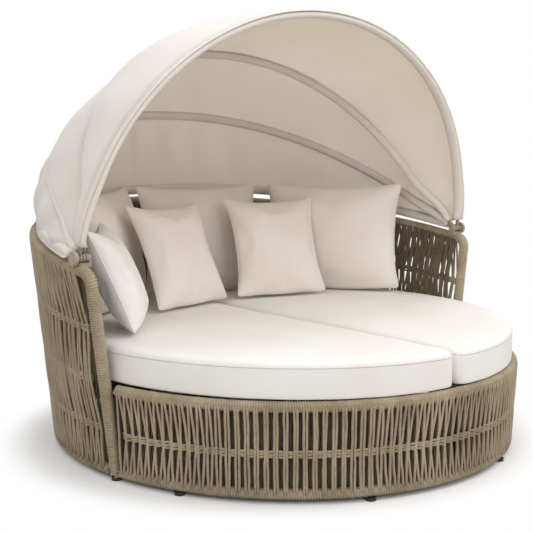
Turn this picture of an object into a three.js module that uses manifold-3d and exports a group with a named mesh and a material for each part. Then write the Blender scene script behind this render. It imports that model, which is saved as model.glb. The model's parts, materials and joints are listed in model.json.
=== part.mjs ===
// Round outdoor daybed with a woven rope frame, seat cushions, pillows and a folding hood.
// Millimetres, +Z up. The front faces -Y and the origin is on the floor under the middle.
import * as THREE from "three";
import { mergeVertices } from "three/addons/utils/BufferGeometryUtils.js";
import Module from "manifold-3d";

const wasm = await Module();
wasm.setup();

// Clearances
const fit = 0.3; // between pieces that touch
const overrun = 2; // how far a join or a cut reaches into its neighbour
const pivotClearance = 0.5; // around the hood's pivot pins
const weld = 0.001; // points closer than this are one

// Plan of the frame: outer faces of the rope
const footHalfWidth = 900;
const footHalfDepth = 944;
const rimHalfWidth = 916;
const rimHalfDepth = 957;
const shellHalfWidth = 990;
const shellHalfDepth = 957;
const splitAngle = 80.6; // from the front to the middle of each shell post, in degrees
const moduleGap = 4; // between a shell post and the front base

// Heights
const glideHeight = 12;
const rimHeight = 344;
const armHeight = 770; // at the widest place of the shell
const backRise = 144;
const cornerRadius = 45; // middle line of the bend from a post into the top rail

// Frame tubes and feet
const wrappedRadius = 20;
const uprightRadius = 11;
const glideRadius = 18;
const legSize = 40;
const frontGlideShares = [-0.8, -0.28, 0.28, 0.8];
const shellGlideShares = [0.22, 0.41, 0.59, 0.78];

// Woven rope
const ropeDiameter = 8;
const strandWidth = 16;
const strandPitch = 37;
const bindingHeight = 18;
const strandSlant = 12;
const ropeInset = 0.5; // from the rail's outer face to the rope's
const frontRowShare = 0.47;
const shellRowShares = [0.22, 0.46, 0.72];
const frontBays = 6;
const shellBays = 7;

// Deck
const beamWidth = 30;
const beamHeight = 30;
const slatWidth = 50;
const slatHeight = 18;
const slatSpacing = 180;
const slatCount = 9;
const ledgeWidth = 40;
const ledgeHeight = 12;
const ledgeGap = 60; // from the middle of a post to the end of the ledge
const frontBeamPlace = 200; // in front of the middle
const shellBeamPlace = 110; // in front of the middle
const connectorWidth = 60;
const connectorThickness = 5;
const connectorPlace = 480; // to each side of the middle

// Seat cushions
const cushionHeight = 126;
const cushionSideGap = 5.5; // from the rope of the shell's wall
const cushionBackGap = 8.5;
const cushionFrontInset = 4; // behind the rim of the front base
const cushionSplit = 4;
const cushionEdge = 12;

// Pillows
const scatterSize = 450;
const scatterThickness = 130;
const sideSize = 400;
const sideThickness = 150;
const backWidth = 650;
const backHeight = 480;
const backThickness = 150;
const pillowEdge = 3;
const pillowPull = 16; // how far a seam is drawn in between its corners
const pillowSag = 32; // how far the bottom seam hangs below its corners

// Each pillow stands on the middle of its bottom seam. That place is given in shares of the seat's
// half width and back depth, then the turn about the vertical and the lean in degrees.
const pillows = [
  { name: "left_back_pillow", kind: "back", placeShares: [-0.48, 0.565], turn: 40, lean: 10 },
  { name: "middle_back_pillow", kind: "back", placeShares: [0.1, 0.69], turn: -3, lean: 9 },
  { name: "right_back_pillow", kind: "back", placeShares: [0.678, 0.386], turn: -56, lean: 4 },
  { name: "left_scatter_pillow", kind: "scatter", placeShares: [-0.215, 0.35], turn: 14, lean: 23 },
  { name: "right_scatter_pillow", kind: "scatter", placeShares: [0.315, 0.341], turn: -14, lean: 20 },
  { name: "side_pillow", kind: "side", placeShares: [-0.708, 0.049], turn: 53, lean: 24 },
];

// Hood
const pivotPlace = -99; // along Y
const pivotRise = 21.2; // over the top of the rail
const pinRadius = 5;
const pinHeadRadius = 8.5;
const pinHeadHeight = 3;
const eyeRadius = 14;
const legThickness = 9; // of a bow's flattened end
const legWidth = 18;
const stackPitch = 12; // from bow to bow along the pin
const eyeInset = 24; // from the rail's middle in to the innermost eye
const bracketThickness = 9;
const bracketBase = 5.5; // over the rail's top
const bracketDrop = 10; // down the rail's sides
const bracketLength = 32;
const hubRadius = 26;
const hubThickness = 14;
const hubDish = 3;
const bowRadius = 8;
const legReach = 150; // from the pivot to the end of the flattened part
const flareReach = 275; // from the pivot to where the bow has its own width
const frontBowSpread = 9; // of a bow's arch beyond the innermost eye
const frontBowReach = 872;
const upperBowSpread = -78;
const upperBowReach = 928;
const lowerBowSpread = -16;
const lowerBowReach = 1039;
const rearBowSpread = 35;
const rearBowReach = 954;

// Each bow is an arch in a plane through the pivots. Its angle is in degrees from upright, forward
// positive; order is its place on the pin from the inside.
const bows = {
  front: { angle: 10.4, spread: frontBowSpread, reach: frontBowReach, powerShare: 2.02, order: 2 },
  upper: { angle: -35.4, spread: upperBowSpread, reach: upperBowReach, powerShare: 2.21, order: 0 },
  lower: { angle: -60.8, spread: lowerBowSpread, reach: lowerBowReach, powerShare: 2.24, order: 1 },
  rear: { angle: -79.7, spread: rearBowSpread, reach: rearBowReach, powerShare: 2.17, order: 3 },
};

// Cloth of the hood
const clothStart = 75; // from the pivot to the gathered ends
const clothThickness = 3;
const clothGap = 2; // from a bow to the cloth over it
const hemReach = 16; // past the front and rear bows
const swellSpan = 450; // a panel this wide has its full swell
const frontSwell = 56;
const middleSwell = 32;
const rearSwell = 48;

// Facets
const railSides = 8;
const bowSides = 6;
const pinSides = 12;
const boreSides = 8;
const knobSides = 18;
const glideSides = 10;
const frontSteps = 26;
const lowerSteps = 30;
const rimSteps = 32;
const bendSteps = 4;
const ledgeStepsPerBay = 3;
const archSteps = 22;
const clothSteps = 3;
const cushionSteps = 22;
const pillowSteps = 6; // even, so that a seam has a middle point

const colours = {
  rope: 0xa8987f,
  frame: 0x5a5046,
  foot: 0x201c19,
  cushion: 0xf0ede8,
  pillow: 0xddd5cb,
  cloth: 0xe0d9d2,
  bow: 0x8c8470,
  hub: 0x8c8470,
  steel: 0xb4b4b0,
};

const radians = THREE.MathUtils.degToRad;
const lerp = THREE.MathUtils.lerp;
const smoothstep = THREE.MathUtils.smoothstep;
const clamp = THREE.MathUtils.clamp;
const quarterTurn = Math.PI / 2;
const daybed = new THREE.Group();

function addMesh(name, geometry, colour, roughness = 0.8, metalness = 0) {
  const material = new THREE.MeshStandardMaterial({ color: colour, roughness, metalness });
  const mesh = new THREE.Mesh(geometry, material);
  mesh.name = name;
  daybed.add(mesh);
  return mesh;
}

// Solids

function toSolid(geometry) {
  const bare = geometry.clone();
  bare.deleteAttribute("normal");
  bare.deleteAttribute("uv");
  const merged = mergeVertices(bare, weld);
  return new wasm.Manifold(new wasm.Mesh({
    numProp: 3,
    vertProperties: merged.attributes.position.array,
    triVerts: new Uint32Array(merged.index.array),
  }));
}

function toGeometry(solid) {
  const mesh = solid.getMesh();
  const geometry = new THREE.BufferGeometry();
  geometry.setAttribute("position", new THREE.BufferAttribute(mesh.vertProperties, 3));
  geometry.setIndex(new THREE.BufferAttribute(mesh.triVerts, 1));
  geometry.computeVertexNormals();
  return geometry;
}

function join(pieces, cuts = []) {
  let solid = toSolid(pieces[0]);
  for (const piece of pieces.slice(1)) solid = solid.add(toSolid(piece));
  for (const cut of cuts) solid = solid.subtract(toSolid(cut));
  return toGeometry(solid);
}

function box(x, y, z) {
  return new THREE.BoxGeometry(x[1] - x[0], y[1] - y[0], z[1] - z[0]).translate(
    (x[0] + x[1]) / 2, (y[0] + y[1]) / 2, (z[0] + z[1]) / 2);
}

// A cylinder along X on the pivot line
function drum(x, radius, sides) {
  return new THREE.CylinderGeometry(radius, radius, Math.abs(x[1] - x[0]), sides)
    .rotateZ(quarterTurn)
    .translate((x[0] + x[1]) / 2, pivotPlace, pivotHeight);
}

// A surface put together from quads and triangles whose corners run counterclockwise from outside
class Skin {
  constructor() {
    this.positions = [];
  }

  triangle(a, b, c) {
    for (const p of [a, b, c]) this.positions.push(p.x, p.y, p.z);
  }

  quad(a, b, c, d) {
    this.triangle(a, b, c);
    this.triangle(a, c, d);
  }

  geometry() {
    const geometry = new THREE.BufferGeometry();
    geometry.setAttribute("position", new THREE.Float32BufferAttribute(this.positions, 3));
    return toGeometry(toSolid(geometry));
  }
}

// A path for a swept section that keeps one side towards a given direction
class FramedPath extends THREE.Curve {
  constructor(pointAt, sideAt, scalesAt = () => [1, 1]) {
    super();
    this.pointAt = pointAt;
    this.sideAt = sideAt;
    this.scalesAt = scalesAt;
  }

  getPoint(t) {
    return this.pointAt(t);
  }

  getUtoTmapping(u) {
    return u;
  }

  computeFrenetFrames(steps) {
    const tangents = [];
    const normals = [];
    const binormals = [];
    for (let i = 0; i <= steps; i++) {
      const tangent = this.getTangent(i / steps);
      const side = this.sideAt(i / steps).clone();
      side.addScaledVector(tangent, -side.dot(tangent)).normalize();
      const scales = this.scalesAt(i / steps);
      tangents.push(tangent);
      binormals.push(new THREE.Vector3().crossVectors(tangent, side).multiplyScalar(scales[1]));
      normals.push(side.multiplyScalar(scales[0]));
    }
    return { tangents, normals, binormals };
  }
}

// A regular section with its flats at the given radius, one of them square to the path's binormal
function roundSection(radius, sides) {
  const corner = radius / Math.cos(Math.PI / sides);
  const shape = new THREE.Shape();
  for (let i = 0; i < sides; i++) {
    const angle = ((i + 0.5) / sides) * 2 * Math.PI + quarterTurn;
    if (i === 0) shape.moveTo(corner * Math.cos(angle), corner * Math.sin(angle));
    else shape.lineTo(corner * Math.cos(angle), corner * Math.sin(angle));
  }
  return shape;
}

function barSection(width, height) {
  const shape = new THREE.Shape();
  shape.moveTo(-width / 2, -height / 2);
  shape.lineTo(width / 2, -height / 2);
  shape.lineTo(width / 2, height / 2);
  shape.lineTo(-width / 2, height / 2);
  return shape;
}

function sweep(section, path, steps) {
  return new THREE.ExtrudeGeometry(section, { steps, extrudePath: path });
}

// Walls: a wall is an oval that widens from its bottom rail to its top rail.
// Angles run round the plan from the front, positive to the right.

const footRailHeight = glideHeight + fit + wrappedRadius;
const rimRailHeight = rimHeight - wrappedRadius;
const armRailHeight = armHeight - wrappedRadius;

const frontRimHeight = () => rimRailHeight;
const footHeight = () => footRailHeight;
const shellRimHeight = (angle) => armRailHeight - backRise * Math.cos(angle);

function makeWall(halfWidth, halfDepth, topAt) {
  return {
    low: [footHalfWidth - wrappedRadius, footHalfDepth - wrappedRadius],
    high: [halfWidth - wrappedRadius, halfDepth - wrappedRadius],
    topAt,
  };
}

const frontWall = makeWall(rimHalfWidth, rimHalfDepth, frontRimHeight);
const shellWall = makeWall(shellHalfWidth, shellHalfDepth, shellRimHeight);

// The oval of a wall at a height, as seen where the wall has the given angle
function wallAxes(wall, angle, height) {
  const top = wall.topAt(angle);
  const share = (Math.min(height, top) - footRailHeight) / (top - footRailHeight);
  return [lerp(wall.low[0], wall.high[0], share), lerp(wall.low[1], wall.high[1], share)];
}

function wallNormal(wall, angle, height) {
  const [a, b] = wallAxes(wall, angle, height);
  return new THREE.Vector3(Math.sin(angle) / a, -Math.cos(angle) / b, 0).normalize();
}

function wallPoint(wall, angle, height, depth = 0) {
  const [a, b] = wallAxes(wall, angle, height);
  const point = new THREE.Vector3(a * Math.sin(angle), -b * Math.cos(angle), height);
  return point.addScaledVector(wallNormal(wall, angle, height), depth);
}

// Half the inside of a wall's oval, across at a place along Y, or along at a place across X
function insideWidth(wall, inset, y) {
  const [a, b] = wallAxes(wall, quarterTurn, rimRailHeight);
  return (a - inset) * Math.sqrt(1 - (y / (b - inset)) ** 2);
}

function insideDepth(wall, inset, x) {
  const [a, b] = wallAxes(wall, Math.PI, rimRailHeight);
  return (b - inset) * Math.sqrt(1 - (x / (a - inset)) ** 2);
}

const meanRadius = (shellWall.high[0] + shellWall.high[1]) / 2;
const turn = (length) => length / meanRadius; // a length along a wall as an angle
const shellStart = radians(splitAngle);
const shellEnd = 2 * Math.PI - shellStart;

// The front base ends in front of the posts by the gap, both at its foot and at its rim
function frontEndAt(height) {
  const postFace = -wallPoint(shellWall, shellStart, height).y + wrappedRadius + moduleGap;
  return Math.acos(postFace / wallAxes(frontWall, shellStart, height)[1]);
}

const frontEnd = Math.min(frontEndAt(footRailHeight), frontEndAt(rimRailHeight));

// Rails and posts

function railAlong(wall, start, end, heightAt, steps, radius = wrappedRadius) {
  const at = (t) => lerp(start, end, t);
  const path = new FramedPath(
    (t) => wallPoint(wall, at(t), heightAt(at(t))),
    (t) => wallNormal(wall, at(t), heightAt(at(t))));
  return sweep(roundSection(radius, railSides), path, steps);
}

function frontTopRail(radius) {
  return railAlong(frontWall, -frontEnd, frontEnd, frontRimHeight, frontSteps, radius);
}

const bendTurn = turn(cornerRadius);
const postTop = shellRimHeight(shellStart + bendTurn) - cornerRadius;

// Angle and height of the shell's top rail, which bends down to a post at each end
function topRailPlace(t) {
  const allSteps = rimSteps + 2 * bendSteps;
  const step = clamp(t, 0, 1) * allSteps;
  const near = Math.min(step, allSteps - step);
  if (near >= bendSteps) {
    const angle = lerp(shellStart + bendTurn, shellEnd - bendTurn, (step - bendSteps) / rimSteps);
    return [angle, shellRimHeight(angle)];
  }
  const bend = (near / bendSteps) * quarterTurn;
  const inward = bendTurn * (1 - Math.cos(bend));
  const angle = step < allSteps / 2 ? shellStart + inward : shellEnd - inward;
  return [angle, postTop + cornerRadius * Math.sin(bend)];
}

function shellTopRail(radius) {
  const path = new FramedPath(
    (t) => wallPoint(shellWall, ...topRailPlace(t)),
    (t) => wallNormal(shellWall, ...topRailPlace(t)));
  return sweep(roundSection(radius, railSides), path, rimSteps + 2 * bendSteps);
}

// A post is cut level over its glide
function post(angle) {
  const low = glideHeight + fit;
  const path = new FramedPath(
    (t) => wallPoint(shellWall, angle, lerp(0, postTop - fit, t)),
    () => wallNormal(shellWall, angle, postTop));
  const foot = wallPoint(shellWall, angle, low);
  const waste = box([foot.x - 2 * wrappedRadius, foot.x + 2 * wrappedRadius],
    [foot.y - 2 * wrappedRadius, foot.y + 2 * wrappedRadius], [-low, low]);
  return join([sweep(roundSection(wrappedRadius, railSides), path, 1)], [waste]);
}

// A bottom rail with its uprights welded on, their tops coped to the top rail
function lowerFrame(wall, start, end, uprightAngles, topAt, topRail) {
  const pieces = [railAlong(wall, start, end, footHeight, lowerSteps)];
  for (const angle of uprightAngles) {
    const low = footRailHeight + wrappedRadius - overrun;
    const high = topAt(angle) - wrappedRadius + overrun;
    const path = new FramedPath(
      (t) => wallPoint(wall, angle, lerp(low, high, t)),
      () => wallNormal(wall, angle, high));
    pieces.push(sweep(roundSection(uprightRadius, railSides), path, 1));
  }
  return join(pieces, [topRail]);
}

// Evenly spaced angles from start to end
function spread(start, end, count) {
  return Array.from({ length: count }, (_, i) => lerp(start, end, i / (count - 1)));
}

// Rope weave: strands run from rail to rail and are bound to their neighbours at each row

const ropeDepth = wrappedRadius - ropeInset - ropeDiameter / 2;

// How far a strand's end stays from the middle of a rail, whose slanting flat it meets
function railRelief(wall, angle, depth, heightAt, hand) {
  const height = heightAt(angle);
  const plain = (wrappedRadius + fit) * Math.SQRT2 - depth;
  const away = wallPoint(wall, angle, height + hand * plain).sub(wallPoint(wall, angle, height));
  const lean = away.dot(wallNormal(wall, angle, height)) / plain;
  const slope = (heightAt(angle + turn(plain)) - height) / plain;
  return (plain * Math.hypot(1, slope)) / (1 + lean);
}

class Weave {
  constructor(wall, start, end, topAt, rows, strands) {
    Object.assign(this, { wall, start, topAt, rows, strands });
    this.pitch = (end - start) / strands;
    this.half = turn(strandWidth) / 2;
    this.shares = [0, ...rows.flatMap((row) => [row.share, row.share]), 1];
    this.skin = new Skin();
  }

  // The row that a level bounds, from below where the level is odd
  rowAt(level) {
    return level === 0 ? undefined : this.rows[Math.floor((level - 1) / 2)];
  }

  centre(k, level) {
    const row = this.rowAt(level);
    const middle = this.start + (k + 0.5) * this.pitch;
    return row ? middle + row.shift(k, this.pitch, this.half) : middle;
  }

  corner(angle, level, depth) {
    const { wall, topAt } = this;
    const low = footRailHeight + railRelief(wall, angle, depth, footHeight, 1);
    const high = topAt(angle) - railRelief(wall, angle, depth, topAt, -1);
    const binding = (level % 2 === 1 ? -bindingHeight : bindingHeight) / 2;
    const height = lerp(low, high, this.shares[level]) + (this.rowAt(level) ? binding : 0);
    return wallPoint(wall, angle, height, depth);
  }

  // A block between two angles at each of two levels, with the faces asked for
  block(level, low, high, faces) {
    const inner = ropeDepth - ropeDiameter / 2;
    const outer = ropeDepth + ropeDiameter / 2;
    const cornersAt = (angles, at) =>
      [inner, outer].flatMap((depth) => angles.map((angle) => this.corner(angle, at, depth)));
    const [a, b, c, d] = cornersAt(low, level);
    const [e, f, g, h] = cornersAt(high, level + 1);
    this.skin.quad(c, d, h, g);
    this.skin.quad(b, a, e, f);
    if (faces.left) this.skin.quad(a, c, g, e);
    if (faces.right) this.skin.quad(d, b, f, h);
    if (faces.bottom) this.skin.quad(a, b, d, c);
    if (faces.top) this.skin.quad(g, h, f, e);
  }

  strand(k, level) {
    const row = level % 2 === 1 ? this.rowAt(level) : undefined;
    const tiedRight = Boolean(row && k < this.strands - 1 && row.ties(k));
    const tiedLeft = Boolean(row && k > 0 && row.ties(k - 1));
    const edges = [level, level + 1].map((at) => {
      const centre = this.centre(k, at);
      return [centre - this.half, centre + this.half];
    });
    this.block(level, edges[0], edges[1], {
      left: !tiedLeft,
      right: !tiedRight,
      bottom: level === 0,
      top: level === this.shares.length - 2,
    });
    if (tiedRight && !row.touching) {
      const span = [edges[0][1], this.centre(k + 1, level) - this.half];
      this.block(level, span, span, { bottom: true, top: true });
    }
  }

  geometry() {
    for (let k = 0; k < this.strands; k++) {
      for (let level = 0; level < this.shares.length - 1; level++) this.strand(k, level);
    }
    return this.skin.geometry();
  }
}

// The front is bound all along one row, and its strands lean to the right there
const frontRows = [{
  share: frontRowShare,
  touching: false,
  ties: () => true,
  shift: () => turn(strandSlant) / 2,
}];

// The shell's strands meet their left and right neighbours in turn
const shellRows = shellRowShares.map((share, row) => ({
  share,
  touching: true,
  ties: (k) => k % 2 === row % 2,
  shift: (k, pitch, half) => (k % 2 === row % 2 ? 1 : -1) * (pitch / 2 - half),
}));

function addWeave(name, wall, start, end, bays, topAt, rows) {
  const bay = (end - start) / bays;
  const pairs = Math.floor(bay / turn(strandPitch) / 2);
  for (let i = 0; i < bays; i++) {
    const bayStart = start + i * bay + turn(fit) / 2;
    const weave = new Weave(wall, bayStart, bayStart + bay - turn(fit), topAt, rows, 2 * pairs);
    addMesh(`${name}_${i + 1}`, weave.geometry(), colours.rope);
  }
}

function addFrontBase() {
  addMesh("front_top_rail", frontTopRail(wrappedRadius), colours.rope);
  const lastUpright = frontEnd - turn(uprightRadius + overrun);
  const uprights = spread(-lastUpright, lastUpright, frontBays + 1);
  addMesh("front_lower_frame", lowerFrame(frontWall, -frontEnd, frontEnd, uprights,
    frontRimHeight, frontTopRail(wrappedRadius + fit)), colours.rope);
  addWeave("front_weave", frontWall, -frontEnd, frontEnd, frontBays, frontRimHeight, frontRows);
}

const weaveStart = shellStart + bendTurn;
const weaveEnd = shellEnd - bendTurn;

function addShell() {
  addMesh("shell_top_rail", shellTopRail(wrappedRadius), colours.rope);
  const railGap = turn(wrappedRadius + overrun);
  const uprights = spread(weaveStart, weaveEnd, shellBays + 1).slice(1, -1);
  addMesh("shell_lower_frame", lowerFrame(shellWall, shellStart + railGap, shellEnd - railGap,
    uprights, shellRimHeight, shellTopRail(wrappedRadius + fit)), colours.rope);
  addWeave("shell_weave", shellWall, weaveStart, weaveEnd, shellBays, shellRimHeight, shellRows);
  addMesh("right_post", post(shellStart), colours.rope);
  addMesh("left_post", post(shellEnd), colours.rope);
}

function addGlide(name, wall, angle) {
  const place = wallPoint(wall, angle, footRailHeight);
  const geometry = new THREE.CylinderGeometry(glideRadius, glideRadius, glideHeight, glideSides)
    .rotateX(quarterTurn)
    .translate(place.x, place.y, glideHeight / 2);
  addMesh(name, geometry, colours.foot, 0.6);
}

function addGlides() {
  frontGlideShares.forEach((share, i) => addGlide(`front_glide_${i + 1}`, frontWall, share * frontEnd));
  shellGlideShares.forEach((share, i) =>
    addGlide(`shell_glide_${i + 1}`, shellWall, lerp(shellStart, shellEnd, share)));
  addGlide("right_post_glide", shellWall, shellStart);
  addGlide("left_post_glide", shellWall, shellEnd);
}

// Decks: a cross beam with slats, which end at the front's rope rail and on the shell's ledge.
// The ledge has a corner at each upright, against which it lies.

const deckTop = rimHeight;
const beamTop = deckTop - fit;
const beamLow = beamTop - beamHeight;
const slatPlaces = spread(-slatSpacing, slatSpacing, slatCount).map((place) => (place * (slatCount - 1)) / 2);

function crossBeam(halfLength, place) {
  return box([-halfLength, halfLength], [-place - beamWidth / 2, -place + beamWidth / 2], [beamLow, beamTop]);
}

// The slat's ends are given along Y
function slat(x, y) {
  return box([x - slatWidth / 2, x + slatWidth / 2], y, [beamTop - slatHeight, beamTop]);
}

function addFrontDeck() {
  const inset = wrappedRadius + 5 * fit;
  const beamFront = frontBeamPlace + beamWidth / 2;
  const pieces = [crossBeam(insideWidth(frontWall, inset, beamFront), frontBeamPlace)];
  for (const x of slatPlaces) {
    const reach = insideDepth(frontWall, inset, Math.abs(x) + slatWidth / 2);
    pieces.push(slat(x, [-reach, overrun - beamFront]));
  }
  addMesh("front_deck", join(pieces), colours.frame, 0.5, 0.4);
}

// The ledge keeps clear of the leaning uprights both at its top and at its underside
function ledgePoint(angle, middle, depth) {
  const places = [-ledgeHeight / 2, ledgeHeight / 2].map((rise) =>
    wallPoint(shellWall, angle, middle + rise, -depth).setZ(middle));
  return places[0].length() < places[1].length() ? places[0] : places[1];
}

function addShellDeck() {
  const depth = uprightRadius + fit + ledgeWidth / 2;
  const middle = beamTop - slatHeight + overrun - ledgeHeight / 2;
  const start = shellStart + turn(ledgeGap);
  const at = (t) => clamp(lerp(weaveStart, weaveEnd, t), start, 2 * Math.PI - start);
  const ledge = new FramedPath(
    (t) => ledgePoint(at(t), middle, depth),
    (t) => wallNormal(shellWall, at(t), middle));
  const pieces = [
    sweep(barSection(ledgeWidth, ledgeHeight), ledge, ledgeStepsPerBay * shellBays),
    crossBeam(insideWidth(shellWall, depth, shellBeamPlace), shellBeamPlace),
  ];
  for (const x of slatPlaces) {
    const reach = insideDepth(shellWall, depth, Math.abs(x) + slatWidth / 2);
    pieces.push(slat(x, [beamWidth / 2 - shellBeamPlace - overrun, reach]));
  }
  addMesh("shell_deck", join(pieces), colours.frame, 0.5, 0.4);
}

function addCentreLeg(name, place) {
  const leg = box([-legSize / 2, legSize / 2],
    [-place - legSize / 2, -place + legSize / 2], [0, beamLow - fit]);
  addMesh(name, leg, colours.frame, 0.5, 0.4);
}

// A plate under both cross beams
function addConnector(name, place) {
  const plate = box([place - connectorWidth / 2, place + connectorWidth / 2],
    [-frontBeamPlace - beamWidth / 2, -shellBeamPlace + beamWidth / 2],
    [beamLow - fit - connectorThickness, beamLow - fit]);
  addMesh(name, plate, colours.steel, 0.4, 0.8);
}

function addDecks() {
  addFrontDeck();
  addShellDeck();
  addCentreLeg("front_centre_leg", frontBeamPlace);
  addCentreLeg("shell_centre_leg", shellBeamPlace);
  addConnector("left_connector", -connectorPlace);
  addConnector("right_connector", connectorPlace);
}

// Seat cushions: half ovals with softened top and bottom edges

const seatLow = deckTop + fit;
const cushionHalfWidth = insideWidth(shellWall, wrappedRadius + cushionSideGap, 0);
const cushionBackDepth = insideDepth(shellWall, wrappedRadius + cushionBackGap, 0);
const cushionFrontDepth = rimHalfDepth - cushionFrontInset;

function cushionOutline(inset) {
  return Array.from({ length: cushionSteps + 1 }, (_, i) => {
    const angle = (i / cushionSteps) * Math.PI;
    const depth = angle < quarterTurn ? cushionFrontDepth : cushionBackDepth;
    const width = (cushionHalfWidth - inset) * Math.sin(angle);
    return [Math.max(width, inset) + cushionSplit / 2, -(depth - inset) * Math.cos(angle)];
  });
}

function addSeatCushion(name, side) {
  const layers = [
    [cushionEdge, 0],
    [0, cushionEdge],
    [0, cushionHeight - cushionEdge],
    [cushionEdge, cushionHeight],
  ];
  const rings = layers.map(([inset, z]) => cushionOutline(inset).map(([x, y]) =>
    new THREE.Vector3(side * x, y, seatLow + z)));
  if (side > 0) for (const ring of rings) ring.reverse();
  addMesh(name, loft(rings), colours.cushion, 0.95);
}

// A closed solid through rings of points, each end capped as a fan
function loft(rings) {
  const skin = new Skin();
  const count = rings[0].length;
  for (let r = 0; r < rings.length - 1; r++) {
    for (let i = 0; i < count; i++) {
      const j = (i + 1) % count;
      skin.quad(rings[r][i], rings[r + 1][i], rings[r + 1][j], rings[r][j]);
    }
  }
  const last = rings[rings.length - 1];
  for (let i = 1; i < count - 1; i++) {
    skin.triangle(rings[0][0], rings[0][i], rings[0][i + 1]);
    skin.triangle(last[0], last[i + 1], last[i]);
  }
  return skin.geometry();
}

// Pillows: two crowned faces that meet in a seam drawn in between four corners

const pillowSizes = {
  back: [backWidth, backHeight, backThickness],
  scatter: [scatterSize, scatterSize, scatterThickness],
  side: [sideSize, sideSize, sideThickness],
};

function pillowPoint(size, i, j, face) {
  const u = (i / pillowSteps) * 2 - 1;
  const v = (j / pillowSteps) * 2 - 1;
  const crown = Math.sqrt((1 - u * u) * (1 - v * v));
  const bottom = pillowSag * u * u;
  const top = pillowSag + size[1] - pillowPull * (1 - u * u);
  return new THREE.Vector3(
    u * (size[0] / 2 - pillowPull * (1 - v * v)),
    (-face * lerp(pillowEdge, size[2], crown)) / 2,
    lerp(bottom, top, j / pillowSteps));
}

function pillow(size) {
  const skin = new Skin();
  const at = (i, j, face) => pillowPoint(size, i, j, face);
  const n = pillowSteps;
  for (let i = 0; i < n; i++) {
    for (let j = 0; j < n; j++) {
      skin.quad(at(i, j, 1), at(i + 1, j, 1), at(i + 1, j + 1, 1), at(i, j + 1, 1));
      skin.quad(at(i, j, -1), at(i, j + 1, -1), at(i + 1, j + 1, -1), at(i + 1, j, -1));
    }
    skin.quad(at(i, 0, -1), at(i + 1, 0, -1), at(i + 1, 0, 1), at(i, 0, 1));
    skin.quad(at(i, n, 1), at(i + 1, n, 1), at(i + 1, n, -1), at(i, n, -1));
    skin.quad(at(0, i, 1), at(0, i + 1, 1), at(0, i + 1, -1), at(0, i, -1));
    skin.quad(at(n, i, -1), at(n, i + 1, -1), at(n, i + 1, 1), at(n, i, 1));
  }
  return skin.geometry();
}

function addPillows() {
  for (const { name, kind, placeShares, turn: yaw, lean } of pillows) {
    const mesh = addMesh(name, pillow(pillowSizes[kind]), colours.pillow, 0.95);
    mesh.rotation.set(-radians(lean), 0, radians(yaw), "ZXY");
    const rise = (pillowEdge / 2) * Math.sin(radians(lean)) + fit;
    mesh.position.set(placeShares[0] * cushionHalfWidth, placeShares[1] * cushionBackDepth,
      seatLow + cushionHeight + rise);
  }
}

// Hood

const hubAngle = Math.acos(-pivotPlace / shellWall.high[1]);
const hubRailTop = shellRimHeight(hubAngle) + wrappedRadius;
const hubRailPlace = wallPoint(shellWall, hubAngle, shellRimHeight(hubAngle)).x;
const pivotHeight = hubRailTop + pivotRise;
const firstEyePlace = hubRailPlace - eyeInset;

const powerOf = (value, powerShare) => Math.sign(value) * Math.abs(value) ** (2 / powerShare);
const eyePlace = (bow) => firstEyePlace + bow.order * stackPitch;
const halfWidth = (bow) => firstEyePlace + bow.spread;
const clothLift = bowRadius + clothGap;

// Width and reach of a bow's middle line; the legs leave its arch to meet their eyes
function archPlace(bow, angle) {
  const reach = bow.reach * Math.max(powerOf(Math.sin(angle), bow.powerShare), 0);
  const width = halfWidth(bow) * powerOf(Math.cos(angle), bow.powerShare);
  const flare = 1 - smoothstep(reach, legReach / 2, flareReach);
  return [width + Math.sign(Math.cos(angle)) * (eyePlace(bow) - halfWidth(bow)) * flare, reach];
}

// A point of a bow from 0 on the right to 1 on the left, lifted out of its arch
function bowPoint(bow, share, lift = 0) {
  const angle = share * Math.PI;
  const nudge = Math.min(angle, Math.PI - angle) / 4;
  const [x, reach] = archPlace(bow, angle);
  const [x0, reach0] = archPlace(bow, angle - Math.min(nudge, radians(0.1)));
  const [x1, reach1] = archPlace(bow, angle + Math.min(nudge, radians(0.1)));
  const length = Math.hypot(x1 - x0, reach1 - reach0);
  const out = reach + (lift * (x0 - x1)) / length;
  const tilt = radians(bow.angle);
  return new THREE.Vector3(x + (lift * (reach1 - reach0)) / length,
    pivotPlace - out * Math.sin(tilt), pivotHeight + out * Math.cos(tilt));
}

// The share of the arch at which a bow is a given length away from the pivots
function shareAtReach(bow, reach) {
  return Math.asin((reach / bow.reach) ** (bow.powerShare / 2)) / Math.PI;
}

// Even shares of the arch between the gathered ends of the cloth
function archShares(bow) {
  const start = shareAtReach(bow, clothStart);
  return spread(start, 1 - start, archSteps + 1);
}

function bowPath(bow) {
  const first = shareAtReach(bow, eyeRadius / 2);
  const shares = [first, ...archShares(bow), 1 - first];
  const steps = shares.length - 1;
  const shareAt = (t) => {
    const place = clamp(t, 0, 1) * steps;
    const low = Math.min(Math.floor(place), steps - 1);
    return lerp(shares[low], shares[low + 1], place - low);
  };
  const tilt = radians(bow.angle);
  const side = new THREE.Vector3(0, Math.cos(tilt), Math.sin(tilt));
  const scalesAt = (t) => {
    const point = bowPoint(bow, shareAt(t));
    const reach = Math.hypot(point.y - pivotPlace, point.z - pivotHeight);
    const round = smoothstep(reach, legReach, flareReach);
    return [lerp(legWidth / 2 / bowRadius, 1, round), lerp(legThickness / 2 / bowRadius, 1, round)];
  };
  return [new FramedPath((t) => bowPoint(bow, shareAt(t)), () => side, scalesAt), steps];
}

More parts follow.
